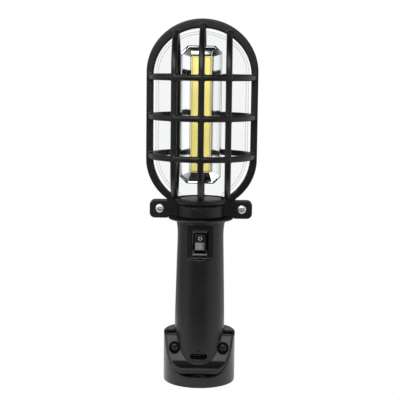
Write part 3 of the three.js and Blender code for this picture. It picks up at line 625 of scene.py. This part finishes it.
# The CAD's solids that stay as they are
NODE_FINISH = {
    "base_cover": BLACK,
    "base_pad": RUBBER,
    "base_magnet": NICKEL,
    "magnet_plate": STEEL,
    "switch_terminal_upper": BRASS,
    "switch_terminal_lower": BRASS,
    "battery_cell": WRAP,
    "battery_tab_lower": NICKEL,
    "battery_tab_upper": NICKEL,
    "charge_board": BOARD_GREEN,
    "indicator_pipe": CLEAR,
    "cage_nut_right": STEEL,
    "cage_nut_left": STEEL,
    "lens_gasket": RUBBER,
    "cob_board": BOARD_WHITE,
    "heat_sink": ALUMINIUM,
    "led_lead_positive": RED,
    "led_lead_negative": BLACK_WIRE,
}
for node, finish in NODE_FINISH.items():
    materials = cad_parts[node].data.materials
    materials.clear()
    materials.append(finish)


# ---- Base ----------------------------------------------------------------------------------------


def window_outline(inset):
    """The cut-out in the drum's front as [y, z] points, from its top down its slanted edge to its floor."""
    return [
        (-SEAM - inset, 2 * BASE_HEIGHT),
        (-SEAM - inset, FOOT_TOP - GAP + inset),
        (-8.2 - inset, FOOT_TOP - GAP - 0.2 + inset),
        (-13.9 - inset, 23.5),
        (-18 - inset, 15.8),
        (-21.4 - inset, 10.8 + inset),
        (-24 - inset, 8.4 + inset),
        (-27 - inset, WINDOW_FLOOR + inset),
        (-2 * BASE_RADIUS, WINDOW_FLOOR + inset),
        (-2 * BASE_RADIUS, 2 * BASE_HEIGHT),
    ]


def base_drum():
    """The drum, with the cut-out and the two bosses that the foot is screwed to."""
    inner = BASE_RADIUS - BASE_WALL
    rim = GRIP_OUTLINE[0][0] + GAP
    shell = turned([
        (inner, BASE_BOTTOM),
        (BASE_RADIUS, BASE_BOTTOM),
        (BASE_RADIUS, BASE_HEIGHT - BASE_EDGE),
        (BASE_RADIUS - BASE_EDGE, BASE_HEIGHT),
        (rim, BASE_HEIGHT),
        (rim, BASE_HEIGHT - BASE_TOP_THICKNESS),
        (inner, BASE_HEIGHT - BASE_TOP_THICKNESS),
    ])
    cut(shell, prism(window_outline(0), -REACH, REACH, "x"))
    inside = BASE_RADIUS - BASE_WALL / 2
    for side in (-1, 1):
        left, right = sorted((side * BOSS_INNER_X, side * inside))
        low, high = BASE_SCREW_Z - BOSS_HALF_HEIGHT, BASE_SCREW_Z + BOSS_HALF_HEIGHT
        boss = block((left, BOSS_FRONT, low), (right, BOSS_BACK, high))
        joined(shell, common(boss, disc(inside, 0, BASE_HEIGHT)))
        cut(shell, bar_along_y(BOSS_HOLE_RADIUS, side * BASE_SCREW_X, BASE_SCREW_Z, -20, 0))
    return moulded(shell)


# ---- Grip ----------------------------------------------------------------------------------------


def spline(points, steps):
    """Points on a Catmull-Rom curve through the given ones."""
    made = []
    for k in range(len(points) - 1):
        four = [points[max(k - 1, 0)], points[k], points[k + 1], points[min(k + 2, len(points) - 1)]]
        for i in range(steps):
            t = i / steps
            weights = (
                -t / 2 + t**2 - t**3 / 2,
                1 - 2.5 * t**2 + 1.5 * t**3,
                t / 2 + 2 * t**2 - 1.5 * t**3,
                -(t**2) / 2 + t**3 / 2,
            )
            made.append(tuple(sum(w * p[axis] for w, p in zip(weights, four)) for axis in (0, 1)))
    return [*made, points[-1]]


def grip_outside():
    return turned([
        (0, GRIP_OUTLINE[0][1]),
        *spline(GRIP_OUTLINE, 8),
        (FLANGE_RADIUS - FLANGE_BEVEL_WIDTH, FLANGE_BOTTOM),
        (FLANGE_RADIUS, FLANGE_BOTTOM + FLANGE_BEVEL_HEIGHT),
        (FLANGE_RADIUS, FLANGE_TOP),
        (SPIGOT_RADIUS, FLANGE_TOP),
        (SPIGOT_RADIUS, SPIGOT_TOP),
        (0, SPIGOT_TOP),
    ])


def grip_inside():
    inner = [(r - GRIP_WALL, z) for r, z in GRIP_OUTLINE]
    return turned([
        (0, GRIP_OUTLINE[0][1] - 1),
        (inner[0][0], GRIP_OUTLINE[0][1] - 1),
        *spline(inner, 4),
        (SPIGOT_BORE, FLANGE_TOP),
        (SPIGOT_BORE, SPIGOT_TOP + 1),
        (0, SPIGOT_TOP + 1),
    ])


def foot_outline():
    """The foot's outside as [y, z] points: its slanted front, the toe and the ledge under it."""
    return [
        (0, FOOT_TOP),
        (EAR_TOP_FRONT, FOOT_TOP),
        (-14.6, 24.5),
        (-17.9, 18),
        (-20.6, 15.6),
        (-23.6, 14.1),
        (-24.5, 13),
        (-24.4, 9.4),
        (-23.6, 8.2),
        (0, 8.2),
    ]


def foot_hollow():
    """The room behind the foot's plate, as [y, z] points."""
    return [
        (1, FOOT_TOP - FOOT_PLATE),
        (EAR_TOP_FRONT + 1.7, FOOT_TOP - FOOT_PLATE),
        (-12.3, 23.8),
        (-15.6, 17),
        (-18.6, 13.6),
        (-21.6, 12.2),
        (-21.6, 0),
        (1, 0),
    ]


def foot_body():
    return prism(foot_outline(), -REACH, REACH, "x")


def grip_front():
    """The grip's front half with the foot, and its openings for screws, switch and charging plug."""
    clear = BASE_RADIUS - BASE_WALL - GAP
    inside = common(foot_body(), disc(clear, 0, BASE_HEIGHT))
    window = prism(window_outline(GAP), -REACH, REACH, "x")
    proud = common(foot_body(), disc(FOOT_PROUD_RADIUS, 0, BASE_HEIGHT), window)
    whole = joined(grip_outside(), inside, proud)
    cut(whole, prism(foot_hollow(), -REACH, REACH, "x"))
    cup_back = BASE_SCREW_SEAT + CUP_FLOOR
    cups = [bar_along_y(CUP_RADIUS, s * BASE_SCREW_X, BASE_SCREW_Z, CUP_FRONT, cup_back) for s in (-1, 1)]
    joined(whole, *[common(cup, foot_body(), disc(clear, 0, BASE_HEIGHT)) for cup in cups])
    cut(whole, grip_inside())
    half = RECESS_WIDTH / 2
    panel = block(
        (-half, RECESS_FLOOR - GAP, RECESS_BOTTOM - PANEL_THICKNESS),
        (half, RECESS_FLOOR + PANEL_THICKNESS, RECESS_TOP + PANEL_THICKNESS),
    )
    joined(whole, panel, bar_along_y(FRONT_POST_RADIUS, 0, HANDLE_SCREW_Z, -POST_REACH, 0))
    for side in (-1, 1):
        x = side * BASE_SCREW_X
        recess = bar_along_y(BASE_SCREW_RECESS, x, BASE_SCREW_Z, FOOT_BEFORE, BASE_SCREW_SEAT)
        shank = bar_along_y(BASE_SCREW_HOLE_RADIUS, x, BASE_SCREW_Z, FOOT_BEFORE, 0)
        cut(whole, recess, shank)
    body_x, body_z = SWITCH_BODY_WIDTH / 2 + GAP, SWITCH_BODY_HEIGHT / 2 + GAP
    slot = rounded_rectangle(0, USB_Z, USB_SLOT_WIDTH, USB_SLOT_HEIGHT, USB_SLOT_HEIGHT / 2 - 0.01)
    cut(
        whole,
        bar_along_y(HANDLE_SCREW_HOLE_RADIUS, 0, HANDLE_SCREW_Z, HANDLE_HOLE_END, 1),
        block((-half, -REACH, RECESS_BOTTOM), (half, RECESS_FLOOR, RECESS_TOP)),
        block((-body_x, -REACH, SWITCH_Z - body_z), (body_x, SWITCH_BODY_BACK, SWITCH_Z + body_z)),
        prism(slot, SOCKET_BEFORE, SOCKET_BACK, "y"),
        bar_along_y(INDICATOR_RADIUS, 0, INDICATOR_Z, SOCKET_BEFORE, SOCKET_BACK),
    )
    return moulded(front_half(whole))


def grip_rear():
    """The grip's rear half, with the lip that holds it down under the drum's top."""
    outer = BASE_RADIUS - BASE_WALL - GAP
    top = BASE_HEIGHT - BASE_TOP_THICKNESS - GAP
    inner = GRIP_OUTLINE[0][0] - GRIP_WALL / 2
    low = top - LIP_HEIGHT
    lip = turned([(inner, low), (outer, low), (outer, top), (inner, top)])
    whole = joined(grip_outside(), lip)
    cut(whole, grip_inside())
    joined(whole, bar_along_y(REAR_POST_RADIUS, 0, HANDLE_SCREW_Z, 0, POST_REACH))
    cut(
        whole,
        bar_along_y(HANDLE_SCREW_RECESS, 0, HANDLE_SCREW_Z, HANDLE_SCREW_SEAT, GRIP_BEHIND),
        bar_along_y(HANDLE_SCREW_HOLE_RADIUS, 0, HANDLE_SCREW_Z, -1, GRIP_BEHIND),
    )
    return moulded(rear_half(whole))


# ---- Cage ----------------------------------------------------------------------------------------


def arched(half_width, top_z, top_height, bottom_z, bottom_height, steps=64):
    """One edge of the band: straight sides between two half-ellipses."""
    points = []
    for start, z, height in ((0, top_z, top_height), (math.pi, bottom_z, bottom_height)):
        for i in range(steps + 1):
            a = start + math.pi * i / steps
            points.append((half_width * math.cos(a), z + height * math.sin(a)))
    return points


def cage_band():
    """The flat arched band, down to where it runs into the collar."""
    outer = prism(arched(**BAND_OUTER), -BAND_THICKNESS, BAND_THICKNESS, "y")
    inner = prism(arched(**BAND_INNER), -REACH, REACH, "y")
    above = block((-REACH, -REACH, COLLAR_TOP - 3), (REACH, REACH, 2 * CROWN_TOP))
    return common(cut(outer, inner), above)


def bar_path(x, steps=28, straight_steps=8):
    """An upright bar's middle line: the cage's profile, in the plane at this x."""
    lowest = max(math.asin(abs(x) / BAR_RADIUS), BAR_LEAST_LOWER_ANGLE)
    highest = max(math.asin(abs(x) / BAR_RADIUS), BAR_LEAST_UPPER_ANGLE)
    profile = []
    for i in range(steps):
        a = lowest + (math.pi / 2 - lowest) * i / steps
        profile.append((BAR_RADIUS * math.sin(a), BAR_BOTTOM_Z - BAR_BOTTOM_HEIGHT * math.cos(a)))
    for i in range(straight_steps):
        profile.append((BAR_RADIUS, BAR_BOTTOM_Z + (BAR_TOP_Z - BAR_BOTTOM_Z) * i / straight_steps))
    for i in range(steps + 1):
        a = math.pi / 2 + (highest - math.pi / 2) * i / steps
        profile.append((BAR_RADIUS * math.sin(a), BAR_TOP_Z + BAR_TOP_HEIGHT * math.cos(a)))
    return [(x, -math.sqrt(max(r * r - x * x, 1)), z) for r, z in profile]


def ring_path(z, steps=56):
    """Half a ring's middle line, from one side of the band to the other."""
    path = []
    for i in range(steps + 1):
        a = math.pi * (RING_START + RING_SWEEP * i / steps)
        path.append((RING_WIDTH_RADIUS * math.cos(a), BAR_RADIUS * math.sin(a), z))
    return path


def cage_half():
    """The front half of the cage. The rear one is its mirror image."""
    bar = rounded_rectangle(0, 0, BAR_DEPTH, BAR_WIDTH, BAR_CORNER, 4)
    ring = rounded_rectangle(0, 0, BAR_DEPTH, RING_HEIGHT, BAR_CORNER, 4)
    grille = [swept(bar, bar_path(x), (1, 0, 0)) for x in BAR_OFFSETS]
    grille += [swept(ring, ring_path(z), (0, 0, 1)) for z in RING_HEIGHTS]
    collar = turned([
        (0, COLLAR_BOTTOM),
        (COLLAR_RADIUS, COLLAR_BOTTOM),
        (COLLAR_RADIUS, COLLAR_TOP - COLLAR_FLARE_HEIGHT),
        (COLLAR_RIM_RADIUS, COLLAR_TOP - COLLAR_RIM_HEIGHT),
        (COLLAR_RIM_RADIUS, COLLAR_TOP),
        (0, COLLAR_TOP),
    ])
    middle = (EAR_TOP + EAR_BOTTOM) / 2
    plate = rounded_rectangle(0, middle, 2 * EAR_REACH, EAR_TOP - EAR_BOTTOM, EAR_CORNER)
    ears = prism(plate, -BAND_THICKNESS, BAND_THICKNESS, "y")
    cut(ears, disc(FLANGE_RADIUS + GAP, 0, COLLAR_BOTTOM))
    for side in (-1, 1):
        cut(ears, bar_along_y(EAR_HOLE_RADIUS, side * EAR_SCREW_X, EAR_SCREW_Z, -REACH, REACH))
    seat = NECK_BOTTOM - 2 * GAP - GASKET_THICKNESS
    bore = turned([
        (0, COLLAR_BOTTOM - 1),
        (COLLAR_BORE, COLLAR_BOTTOM - 1),
        (COLLAR_BORE, seat),
        (NECK_RADIUS + GAP, seat),
        (NECK_RADIUS + GAP, COLLAR_TOP + 1),
        (0, COLLAR_TOP + 1),
    ])
    whole = joined(cage_band(), collar, ears, *grille)
    cut(whole, bore, turned(globe_outline(2 * GAP, 24)))
    return moulded(front_half(whole))


def mirrored_in_y(piece):
    twin = copied(piece)
    twin.data.transform(Matrix.Scale(-1, 4, (0, 1, 0)))
    twin.data.flip_normals()
    return twin


# ---- Globe ---------------------------------------------------------------------------------------


def globe_outline(swell, steps):
    """The globe's outside from neck to crown, swollen by some clearance."""
    points = [(0, NECK_BOTTOM - swell), (NECK_RADIUS + swell, NECK_BOTTOM - swell)]
    neck = math.asin(NECK_RADIUS / GLOBE_RADIUS)
    for i in range(steps + 1):
        a = neck + (math.pi / 2 - neck) * i / steps
        z = GLOBE_LOWER_Z - (GLOBE_LOWER_HEIGHT + swell) * math.cos(a)
        points.append(((GLOBE_RADIUS + swell) * math.sin(a), z))
    for i in range(steps):
        a = math.pi / 2 * (1 - i / steps)
        z = GLOBE_DOME_Z + (GLOBE_TOP - GLOBE_DOME_Z + swell) * math.cos(a)
        points.append(((GLOBE_RADIUS + swell) * math.sin(a), z))
    return [*points, (0, GLOBE_TOP + swell)]


def globe():
    """A thin clear shell, open at the neck, where its wall is thicker."""
    outside = globe_outline(0, 36)[2:]
    inside = [(max(r, 0), z) for r, z in globe_outline(-GLOBE_WALL, 36)[2:]]
    mouth = NECK_RADIUS - GLOBE_WALL
    outline = [(mouth, NECK_BOTTOM), (NECK_RADIUS, NECK_BOTTOM), *outside]
    outline += [*reversed([p for p in inside if p[1] > NECK_TOP]), (mouth, NECK_TOP)]
    return smooth_by_angle(turned(outline, 192), 40)


# ---- LED module ----------------------------------------------------------------------------------


def cornered(width, height, corner):
    """A rectangle about the middle with its corners cut off, as eight [x, z] points."""
    w, h = width / 2, height / 2
    return [
        (w, -h + corner), (w, h - corner), (w - corner, h), (-w + corner, h),
        (-w, h - corner), (-w, -h + corner), (-w + corner, -h), (w - corner, -h),
    ]


def reflector_tray():
    """The mirrored tray: rim, four sloped walls with cut corners, and a back that follows them."""
    rim = cornered(TRAY_WIDTH, TRAY_TOP - TRAY_BOTTOM, TRAY_CORNER)
    floor = cornered(COB_WIDTH + 2 * GAP, COB_TOP - COB_BOTTOM + 2 * GAP, TRAY_FLOOR_CORNER)

    def grown(outline):
        return [(x + math.copysign(TRAY_SKIN, x), z + math.copysign(TRAY_SKIN, z)) for x, z in outline]

    loops = [
        (grown(rim), TRAY_FRONT + TRAY_RIM_SLOPE),
        (rim, TRAY_FRONT),
        (floor, TRAY_BACK),
        (grown(floor), TRAY_BACK),
    ]
    vertices = [(MODULE_X + x, y, MODULE_MIDDLE + z) for outline, y in loops for x, z in outline]
    faces = []
    for k in range(len(loops)):
        a, b = 8 * k, 8 * ((k + 1) % len(loops))
        for i in range(8):
            j = (i + 1) % 8
            faces.append([a + i, a + j, b + j, b + i])
    return bevelled(new_object("tray", vertices, faces), 0.25, 2, 12)


def cob_gel():
    """The silicone that covers the LED strip, with rounded edges."""
    half = COB_WIDTH / 2
    strip = block((MODULE_X - half, TRAY_BACK - 1, COB_BOTTOM), (MODULE_X + half, TRAY_BACK, COB_TOP))
    return bevelled(strip, 0.35, 4)


def pedestal():
    """The plug in the globe's neck, its post that holds the tray, and the holes for the leads."""
    bottom = SPIGOT_TOP + GAP
    low = (-POST_HALF_WIDTH, POST_FRONT, PEDESTAL_TOP - 1)
    plug = joined(
        disc(PEDESTAL_RADIUS, bottom, PEDESTAL_TOP, 96),
        block(low, (POST_HALF_WIDTH, POST_BACK, TRAY_BOTTOM + POST_OVERLAP)),
    )
    for x in (-LEAD_X, LEAD_X):
        hole = disc(LEAD_RADIUS + LEAD_CLEARANCE, bottom - 1, PEDESTAL_TOP + 1, 24)
        hole.data.transform(Matrix.Translation((x * MM, LEAD_Y * MM, 0)))
        cut(plug, hole)
    return bevelled(plug, 0.4)


# ---- Fasteners -----------------------------------------------------------------------------------


def pan_head_screw(position, head_radius, head_height, shank_radius, length, facing_rear=False):
    """A cross-recess screw: the underside of its pan head is at the position, and the head faces -Y."""
    dome = []
    steps = 8
    for i in range(steps + 1):
        a = math.pi / 2 * i / steps
        dome.append((head_radius * math.cos(a) ** 0.6, head_height * (0.4 + 0.6 * math.sin(a))))
    dome[-1] = (0, head_height)
    body = turned([
        (0, -length),
        (shank_radius * 0.5, -length),
        (shank_radius, -length + 1),
        (shank_radius, 0),
        (head_radius * 0.96, 0),
        (head_radius, head_height * 0.12),
        *dome,
    ], 64)
    arm, slot, deep = head_radius * 0.62, head_radius * 0.13, head_height * 0.3
    for turn in (0, math.pi / 2):
        top = [(-arm, -slot), (arm, -slot), (arm, slot), (-arm, slot)]
        low = [(a * 0.45, b * 0.7) for a, b in top]
        tool = tapered([(a, b, head_height + 0.5) for a, b in top], [(a, b, deep) for a, b in low])
        tool.data.transform(Matrix.Rotation(turn + CROSS_TURN, 4, "Z"))
        cut(body, tool)
    body.data.transform(Matrix.Rotation(math.pi / 2, 4, "X"))
    if facing_rear:
        body.data.transform(Matrix.Rotation(math.pi, 4, "Z"))
    body.data.transform(Matrix.Translation(Vector(position) * MM))
    return smooth_by_angle(body, 38)


# ---- Switch and socket ---------------------------------------------------------------------------


def funnel(half_x, half_z):
    """A tool that bevels the edge of the opening in the bezel's face, drawn out as far again in front."""
    def outline(y, grown):
        corners = [(-1, -1), (1, -1), (1, 1), (-1, 1)]
        return [(a * (half_x + grown), y, SWITCH_Z + b * (half_z + grown)) for a, b in corners]

    return tapered(
        outline(BEZEL_FRONT - BEZEL_CHAMFER_DEPTH, 2 * BEZEL_CHAMFER_WIDTH),
        outline(BEZEL_FRONT + BEZEL_CHAMFER_DEPTH, 0),
    )


def switch_bezel():
    """The switch's housing: a bezel on the recess's floor, the body behind it and the rocker's well."""
    outline = rounded_rectangle(0, SWITCH_Z, BEZEL_WIDTH, BEZEL_HEIGHT, BEZEL_CORNER, 5)
    bezel = prism(outline, BEZEL_FRONT, RECESS_FLOOR - GAP, "y")
    half_x, half_z = SWITCH_BODY_WIDTH / 2, SWITCH_BODY_HEIGHT / 2
    body_low, body_high = SWITCH_Z - half_z, SWITCH_Z + half_z
    joined(bezel, block((-half_x, SWITCH_BODY_FRONT, body_low), (half_x, SWITCH_BODY_BACK, body_high)))
    well_x, well_back = ROCKER_WIDTH / 2 + GAP, SWITCH_BODY_BACK - SWITCH_BODY_FLOOR
    well_low, well_high = SWITCH_Z - SWITCH_OPENING_HALF_HEIGHT, SWITCH_Z + SWITCH_OPENING_HALF_HEIGHT
    cut(bezel, block((-well_x, -REACH, well_low), (well_x, well_back, well_high)))
    cut(bezel, funnel(well_x, SWITCH_OPENING_HALF_HEIGHT))
    return bevelled(bezel, 0.3, 2)


def rocker_cap():
    """The rocker as it rests, turned back from the middle of its travel by ROCKER_TILT."""
    tip = ROCKER_CREASE - ROCKER_HALF_HEIGHT * math.tan(math.radians(ROCKER_TILT))
    outline = [
        (ROCKER_CREASE, 0),
        (tip, ROCKER_HALF_HEIGHT),
        (ROCKER_END_BACK, ROCKER_HALF_HEIGHT),
        (ROCKER_BACK, ROCKER_BACK_HALF_HEIGHT),
        (ROCKER_BACK, -ROCKER_BACK_HALF_HEIGHT),
        (ROCKER_END_BACK, -ROCKER_HALF_HEIGHT),
        (tip, -ROCKER_HALF_HEIGHT),
    ]
    cap = prism(outline, -ROCKER_WIDTH / 2, ROCKER_WIDTH / 2, "x")
    bevelled(cap, 0.35, 3, 20)
    return at_rocker(cap)


def at_rocker(piece):
    """Moves a piece made about the rocker's pivot to where it rests."""
    piece.data.transform(Matrix.Rotation(math.radians(-ROCKER_TILT), 4, "X"))
    piece.data.transform(Matrix.Translation((0, ROCKER_PIVOT_Y * MM, SWITCH_Z * MM)))
    return piece


def rocker_mark(mark, along):
    """Lays a printed mark on the rocker's face, at a height along it."""
    slope = math.tan(math.radians(ROCKER_TILT))
    lean = math.radians(ROCKER_TILT) * (1 if along > 0 else -1)
    mark.data.transform(Matrix.Rotation(lean, 4, "X"))
    face = ROCKER_CREASE - abs(along) * slope
    mark.data.transform(Matrix.Translation((0, face * MM, along * MM)))
    return at_rocker(mark)


def off_mark():
    """A small ring."""
    sizes = (OFF_MARK_OUTER, OFF_MARK_INNER)
    outside, inside = (rounded_rectangle(0, 0, size, size, size / 2 - 0.001, 12) for size in sizes)
    ring = cut(prism(outside, -MARK_PROUD, MARK_SUNK, "y"), prism(inside, -1, 1, "y"))
    return rocker_mark(ring, OFF_MARK_ALONG)


def on_mark():
    """A short upright stroke."""
    outline = rounded_rectangle(0, 0, ON_MARK_WIDTH, ON_MARK_HEIGHT, 0.1, 2)
    return rocker_mark(prism(outline, -MARK_PROUD, MARK_SUNK, "y"), ON_MARK_ALONG)


def usb_shell():
    width, height, corner, skin = USB_SHELL_WIDTH, USB_SHELL_HEIGHT, USB_SHELL_CORNER, USB_SHELL_SKIN
    outer = rounded_rectangle(0, USB_Z, width, height, corner)
    inner = rounded_rectangle(0, USB_Z, width - 2 * skin, height - 2 * skin, corner - skin)
    shell = prism(outer, USB_FRONT, USB_BACK, "y")
    cut(shell, prism(inner, USB_FRONT - 1, USB_BACK - 2 * skin, "y"))
    return smooth_by_angle(shell)


def usb_tongue():
    half_x, half_z = USB_TONGUE_HALF_WIDTH, USB_TONGUE_HALF_HEIGHT
    tongue = block((-half_x, USB_TONGUE_FRONT, USB_Z - half_z), (half_x, USB_BACK - 1, USB_Z + half_z))
    return bevelled(tongue, 0.12, 2)


# ---- The lamp ------------------------------------------------------------------------------------

named(base_drum(), "base_drum", BLACK, ["base_cup"])
named(grip_front(), "grip_front", BLACK, ["handle_front"])
named(grip_rear(), "grip_rear", BLACK, ["handle_rear"])
front = cage_half()
rear = mirrored_in_y(front)
named(front, "cage_front_moulded", BLACK, ["cage_front"])
named(rear, "cage_rear_moulded", BLACK, ["cage_rear"])
named(globe(), "clear_globe", CLEAR, ["lens_globe"])
named(reflector_tray(), "mirror_tray", MIRROR, ["reflector_tray"])
named(cob_gel(), "led_gel", PHOSPHOR, ["cob_strip"])
named(pedestal(), "module_base", BLACK, ["module_pedestal"])
named(switch_bezel(), "switch_bezel", SWITCH, ["switch_housing"])
named(rocker_cap(), "rocker_cap", SWITCH, ["rocker"], "rocker")
named(usb_shell(), "usb_shell", BLACK_STEEL, ["usb_port"])
named(usb_tongue(), "usb_contact_tongue", SWITCH, ["usb_tongue"])

named(off_mark(), "rocker_mark_off", WHITE_MARK, body="rocker")
# The on mark's grey is painted shade on white print
named(on_mark(), "rocker_mark_on", SHADED_WHITE_MARK, body="rocker")

for side, suffix in ((-1, "right"), (1, "left")):
    ear_screw = pan_head_screw((side * EAR_SCREW_X, -BAND_THICKNESS - GAP, EAR_SCREW_Z), **EAR_SCREW)
    foot_screw = pan_head_screw((side * BASE_SCREW_X, BASE_SCREW_SEAT - GAP, BASE_SCREW_Z), **FOOT_SCREW)
    named(ear_screw, f"ear_screw_{suffix}", STEEL, [f"cage_screw_{suffix}"])
    named(foot_screw, f"foot_screw_{suffix}", BLACK_STEEL, [f"base_screw_{suffix}"])
grip_screw = pan_head_screw((0, HANDLE_SCREW_SEAT + GAP, HANDLE_SCREW_Z), **GRIP_SCREW, facing_rear=True)
named(grip_screw, "grip_screw", BLACK_STEEL, ["handle_screw"])


# ---- Stage, light and camera ---------------------------------------------------------------------

# Brightness of the surroundings, and the share that is left far above and below the lamp
FRONT_LEVEL = 0.16
RIGHT_LEVEL = 1.12
LEFT_LEVEL = 0.56
LEFT_FRONT_LEVEL = 1.0
BACK_LEVEL = 0.6
STEEP_SHARE = 0.15

FLOOR_HALF = 190
FLOOR_FRONT = -125
FLOOR_GLOW = 1.0
FLOOR_GLOW_ON_MATT = 0.4

# Metres, degrees and watts
LIGHT_TARGET = (0, 0, 0.2)
FILL_PLACE = (-0.12, -1.18, 0.85)
FILL_SIZE = 0.8
FILL_WATTS = 14
KEY_PLACE = (-0.66, -0.48, 0.76)
KEY_SIZE = 0.6
KEY_WATTS = 5.2
SENSOR_WIDTH = 36
LENS = 96.2
CAMERA_PITCH = 82.7
CAMERA_ROLL = 0.7
CAMERA_TURN = 1.15
CAMERA_DISTANCE = 0.848
CAMERA_CENTRE = (-0.0008, 0, 0.2555)


def white_to_the_camera(tree, others):
    """Mixes a shader with plain white, which only the camera sees."""
    of_world = others.node.type == "BACKGROUND"
    white = tree.nodes.new("ShaderNodeBackground" if of_world else "ShaderNodeEmission")
    white.inputs["Color"].default_value = (1, 1, 1, 1)
    mix = tree.nodes.new("ShaderNodeMixShader")
    tree.links.new(tree.nodes.new("ShaderNodeLightPath").outputs["Is Camera Ray"], mix.inputs[0])
    tree.links.new(others, mix.inputs[1])
    tree.links.new(white.outputs[0], mix.inputs[2])
    return mix.outputs["Shader"]


def floor():
    """A small pale board, so that the lamp's upright sides mirror the room and not the floor."""
    half, front = FLOOR_HALF, FLOOR_FRONT
    corners = [(-half, front, 0), (half, front, 0), (half, half, 0), (-half, half, 0)]
    sheet = new_object("floor", corners, [[0, 1, 2, 3]])
    if sheet.data.polygons[0].normal.z < 0:
        sheet.data.flip_normals()
    m = Nodes("pale_floor")
    m.set(Base_Color=(0.85, 0.85, 0.85, 1), Roughness=0.95, Specular_IOR_Level=0.0)
    m.set(Emission_Color=(1, 1, 1, 1))
    diffuse_ray = m.tree.nodes.new("ShaderNodeLightPath").outputs["Is Diffuse Ray"]
    glow = m.spread(diffuse_ray, FLOOR_GLOW, FLOOR_GLOW_ON_MATT, 0, 1)
    m.link(glow, m.shader.inputs["Emission Strength"])
    m.link(white_to_the_camera(m.tree, m.shader.outputs["BSDF"]), m.output.inputs["Surface"])
    sheet.data.materials.append(m.material)


def soft_light(name, position, size, watts):
    """A square light that shines at the lamp and that the camera doesn't see."""
    lamp = bpy.data.lights.new(name, "AREA")
    lamp.shape = "RECTANGLE"
    lamp.size = size
    lamp.size_y = size
    lamp.energy = watts
    holder = bpy.data.objects.new(name, lamp)
    bpy.context.scene.collection.objects.link(holder)
    holder.location = position
    holder.rotation_euler = (Vector(LIGHT_TARGET) - Vector(position)).to_track_quat("-Z", "Y").to_euler()
    holder.visible_camera = False
    holder.visible_transmission = False


def surroundings():
    """A room without walls: bright to the right, bright to the front left and greyer beside it, grey
    behind, and dim in front, above and below."""
    world = bpy.data.worlds.new("studio")
    bpy.context.scene.world = world
    world.use_nodes = True
    tree = world.node_tree
    tree.nodes.clear()

    def add(kind):
        return tree.nodes.new(kind)

    def eased(value, low, high, to_low=0.0, to_high=1.0):
        node = add("ShaderNodeMapRange")
        node.interpolation_type = "SMOOTHSTEP"
        for key, number in zip(("From Min", "From Max", "To Min", "To Max"), (low, high, to_low, to_high)):
            node.inputs[key].default_value = number
        tree.links.new(value, node.inputs["Value"])
        return node.outputs["Result"]

    def maths(operation, *values):
        node = add("ShaderNodeMath")
        node.operation = operation
        for socket, value in zip(node.inputs, values):
            if isinstance(value, bpy.types.NodeSocket):
                tree.links.new(value, socket)
            else:
                socket.default_value = value
        return node.outputs["Value"]

    parts = add("ShaderNodeSeparateXYZ")
    tree.links.new(add("ShaderNodeTexCoord").outputs["Generated"], parts.inputs["Vector"])
    x, y, z = parts.outputs["X"], parts.outputs["Y"], parts.outputs["Z"]
    right = eased(x, 0.3, 0.9, FRONT_LEVEL, RIGHT_LEVEL)
    left_share = eased(maths("MULTIPLY", x, -1), 0.5, 0.93)
    left_level = eased(y, -0.35, 0.1, LEFT_FRONT_LEVEL - FRONT_LEVEL, LEFT_LEVEL - FRONT_LEVEL)
    left = maths("MULTIPLY_ADD", left_share, left_level, FRONT_LEVEL)
    back = eased(y, 0.1, 0.6, FRONT_LEVEL, BACK_LEVEL)
    round_the_lamp = maths("MAXIMUM", maths("MAXIMUM", right, left), back)
    level = maths("MULTIPLY", round_the_lamp, eased(maths("ABSOLUTE", z), 0.35, 0.7, 1.0, STEEP_SHARE))
    room = add("ShaderNodeBackground")
    room.inputs["Color"].default_value = (1, 1, 1, 1)
    tree.links.new(level, room.inputs["Strength"])
    seen = white_to_the_camera(tree, room.outputs["Background"])
    tree.links.new(seen, add("ShaderNodeOutputWorld").inputs["Surface"])


def camera():
    """Turned a little about the upright axis, as the lamp stands slightly turned to the viewer."""
    data = bpy.data.cameras.new("camera")
    data.sensor_width = SENSOR_WIDTH
    data.lens = LENS
    data.clip_start = 0.01
    data.clip_end = 50
    holder = bpy.data.objects.new("camera", data)
    bpy.context.scene.collection.objects.link(holder)
    pitch = Matrix.Rotation(math.radians(CAMERA_PITCH), 4, "X")
    roll = Matrix.Rotation(math.radians(CAMERA_ROLL), 4, "Z")
    turn = Matrix.Rotation(math.radians(CAMERA_TURN), 4, "Z")
    place = Matrix.Translation(CAMERA_CENTRE) @ turn @ Matrix.Translation((0, -CAMERA_DISTANCE, 0))
    holder.matrix_world = place @ pitch @ roll
    bpy.context.scene.camera = holder


floor()
surroundings()
soft_light("front_fill", FILL_PLACE, FILL_SIZE, FILL_WATTS)
soft_light("key", KEY_PLACE, KEY_SIZE, KEY_WATTS)
camera()
bpy.context.scene.view_settings.view_transform = "Standard"
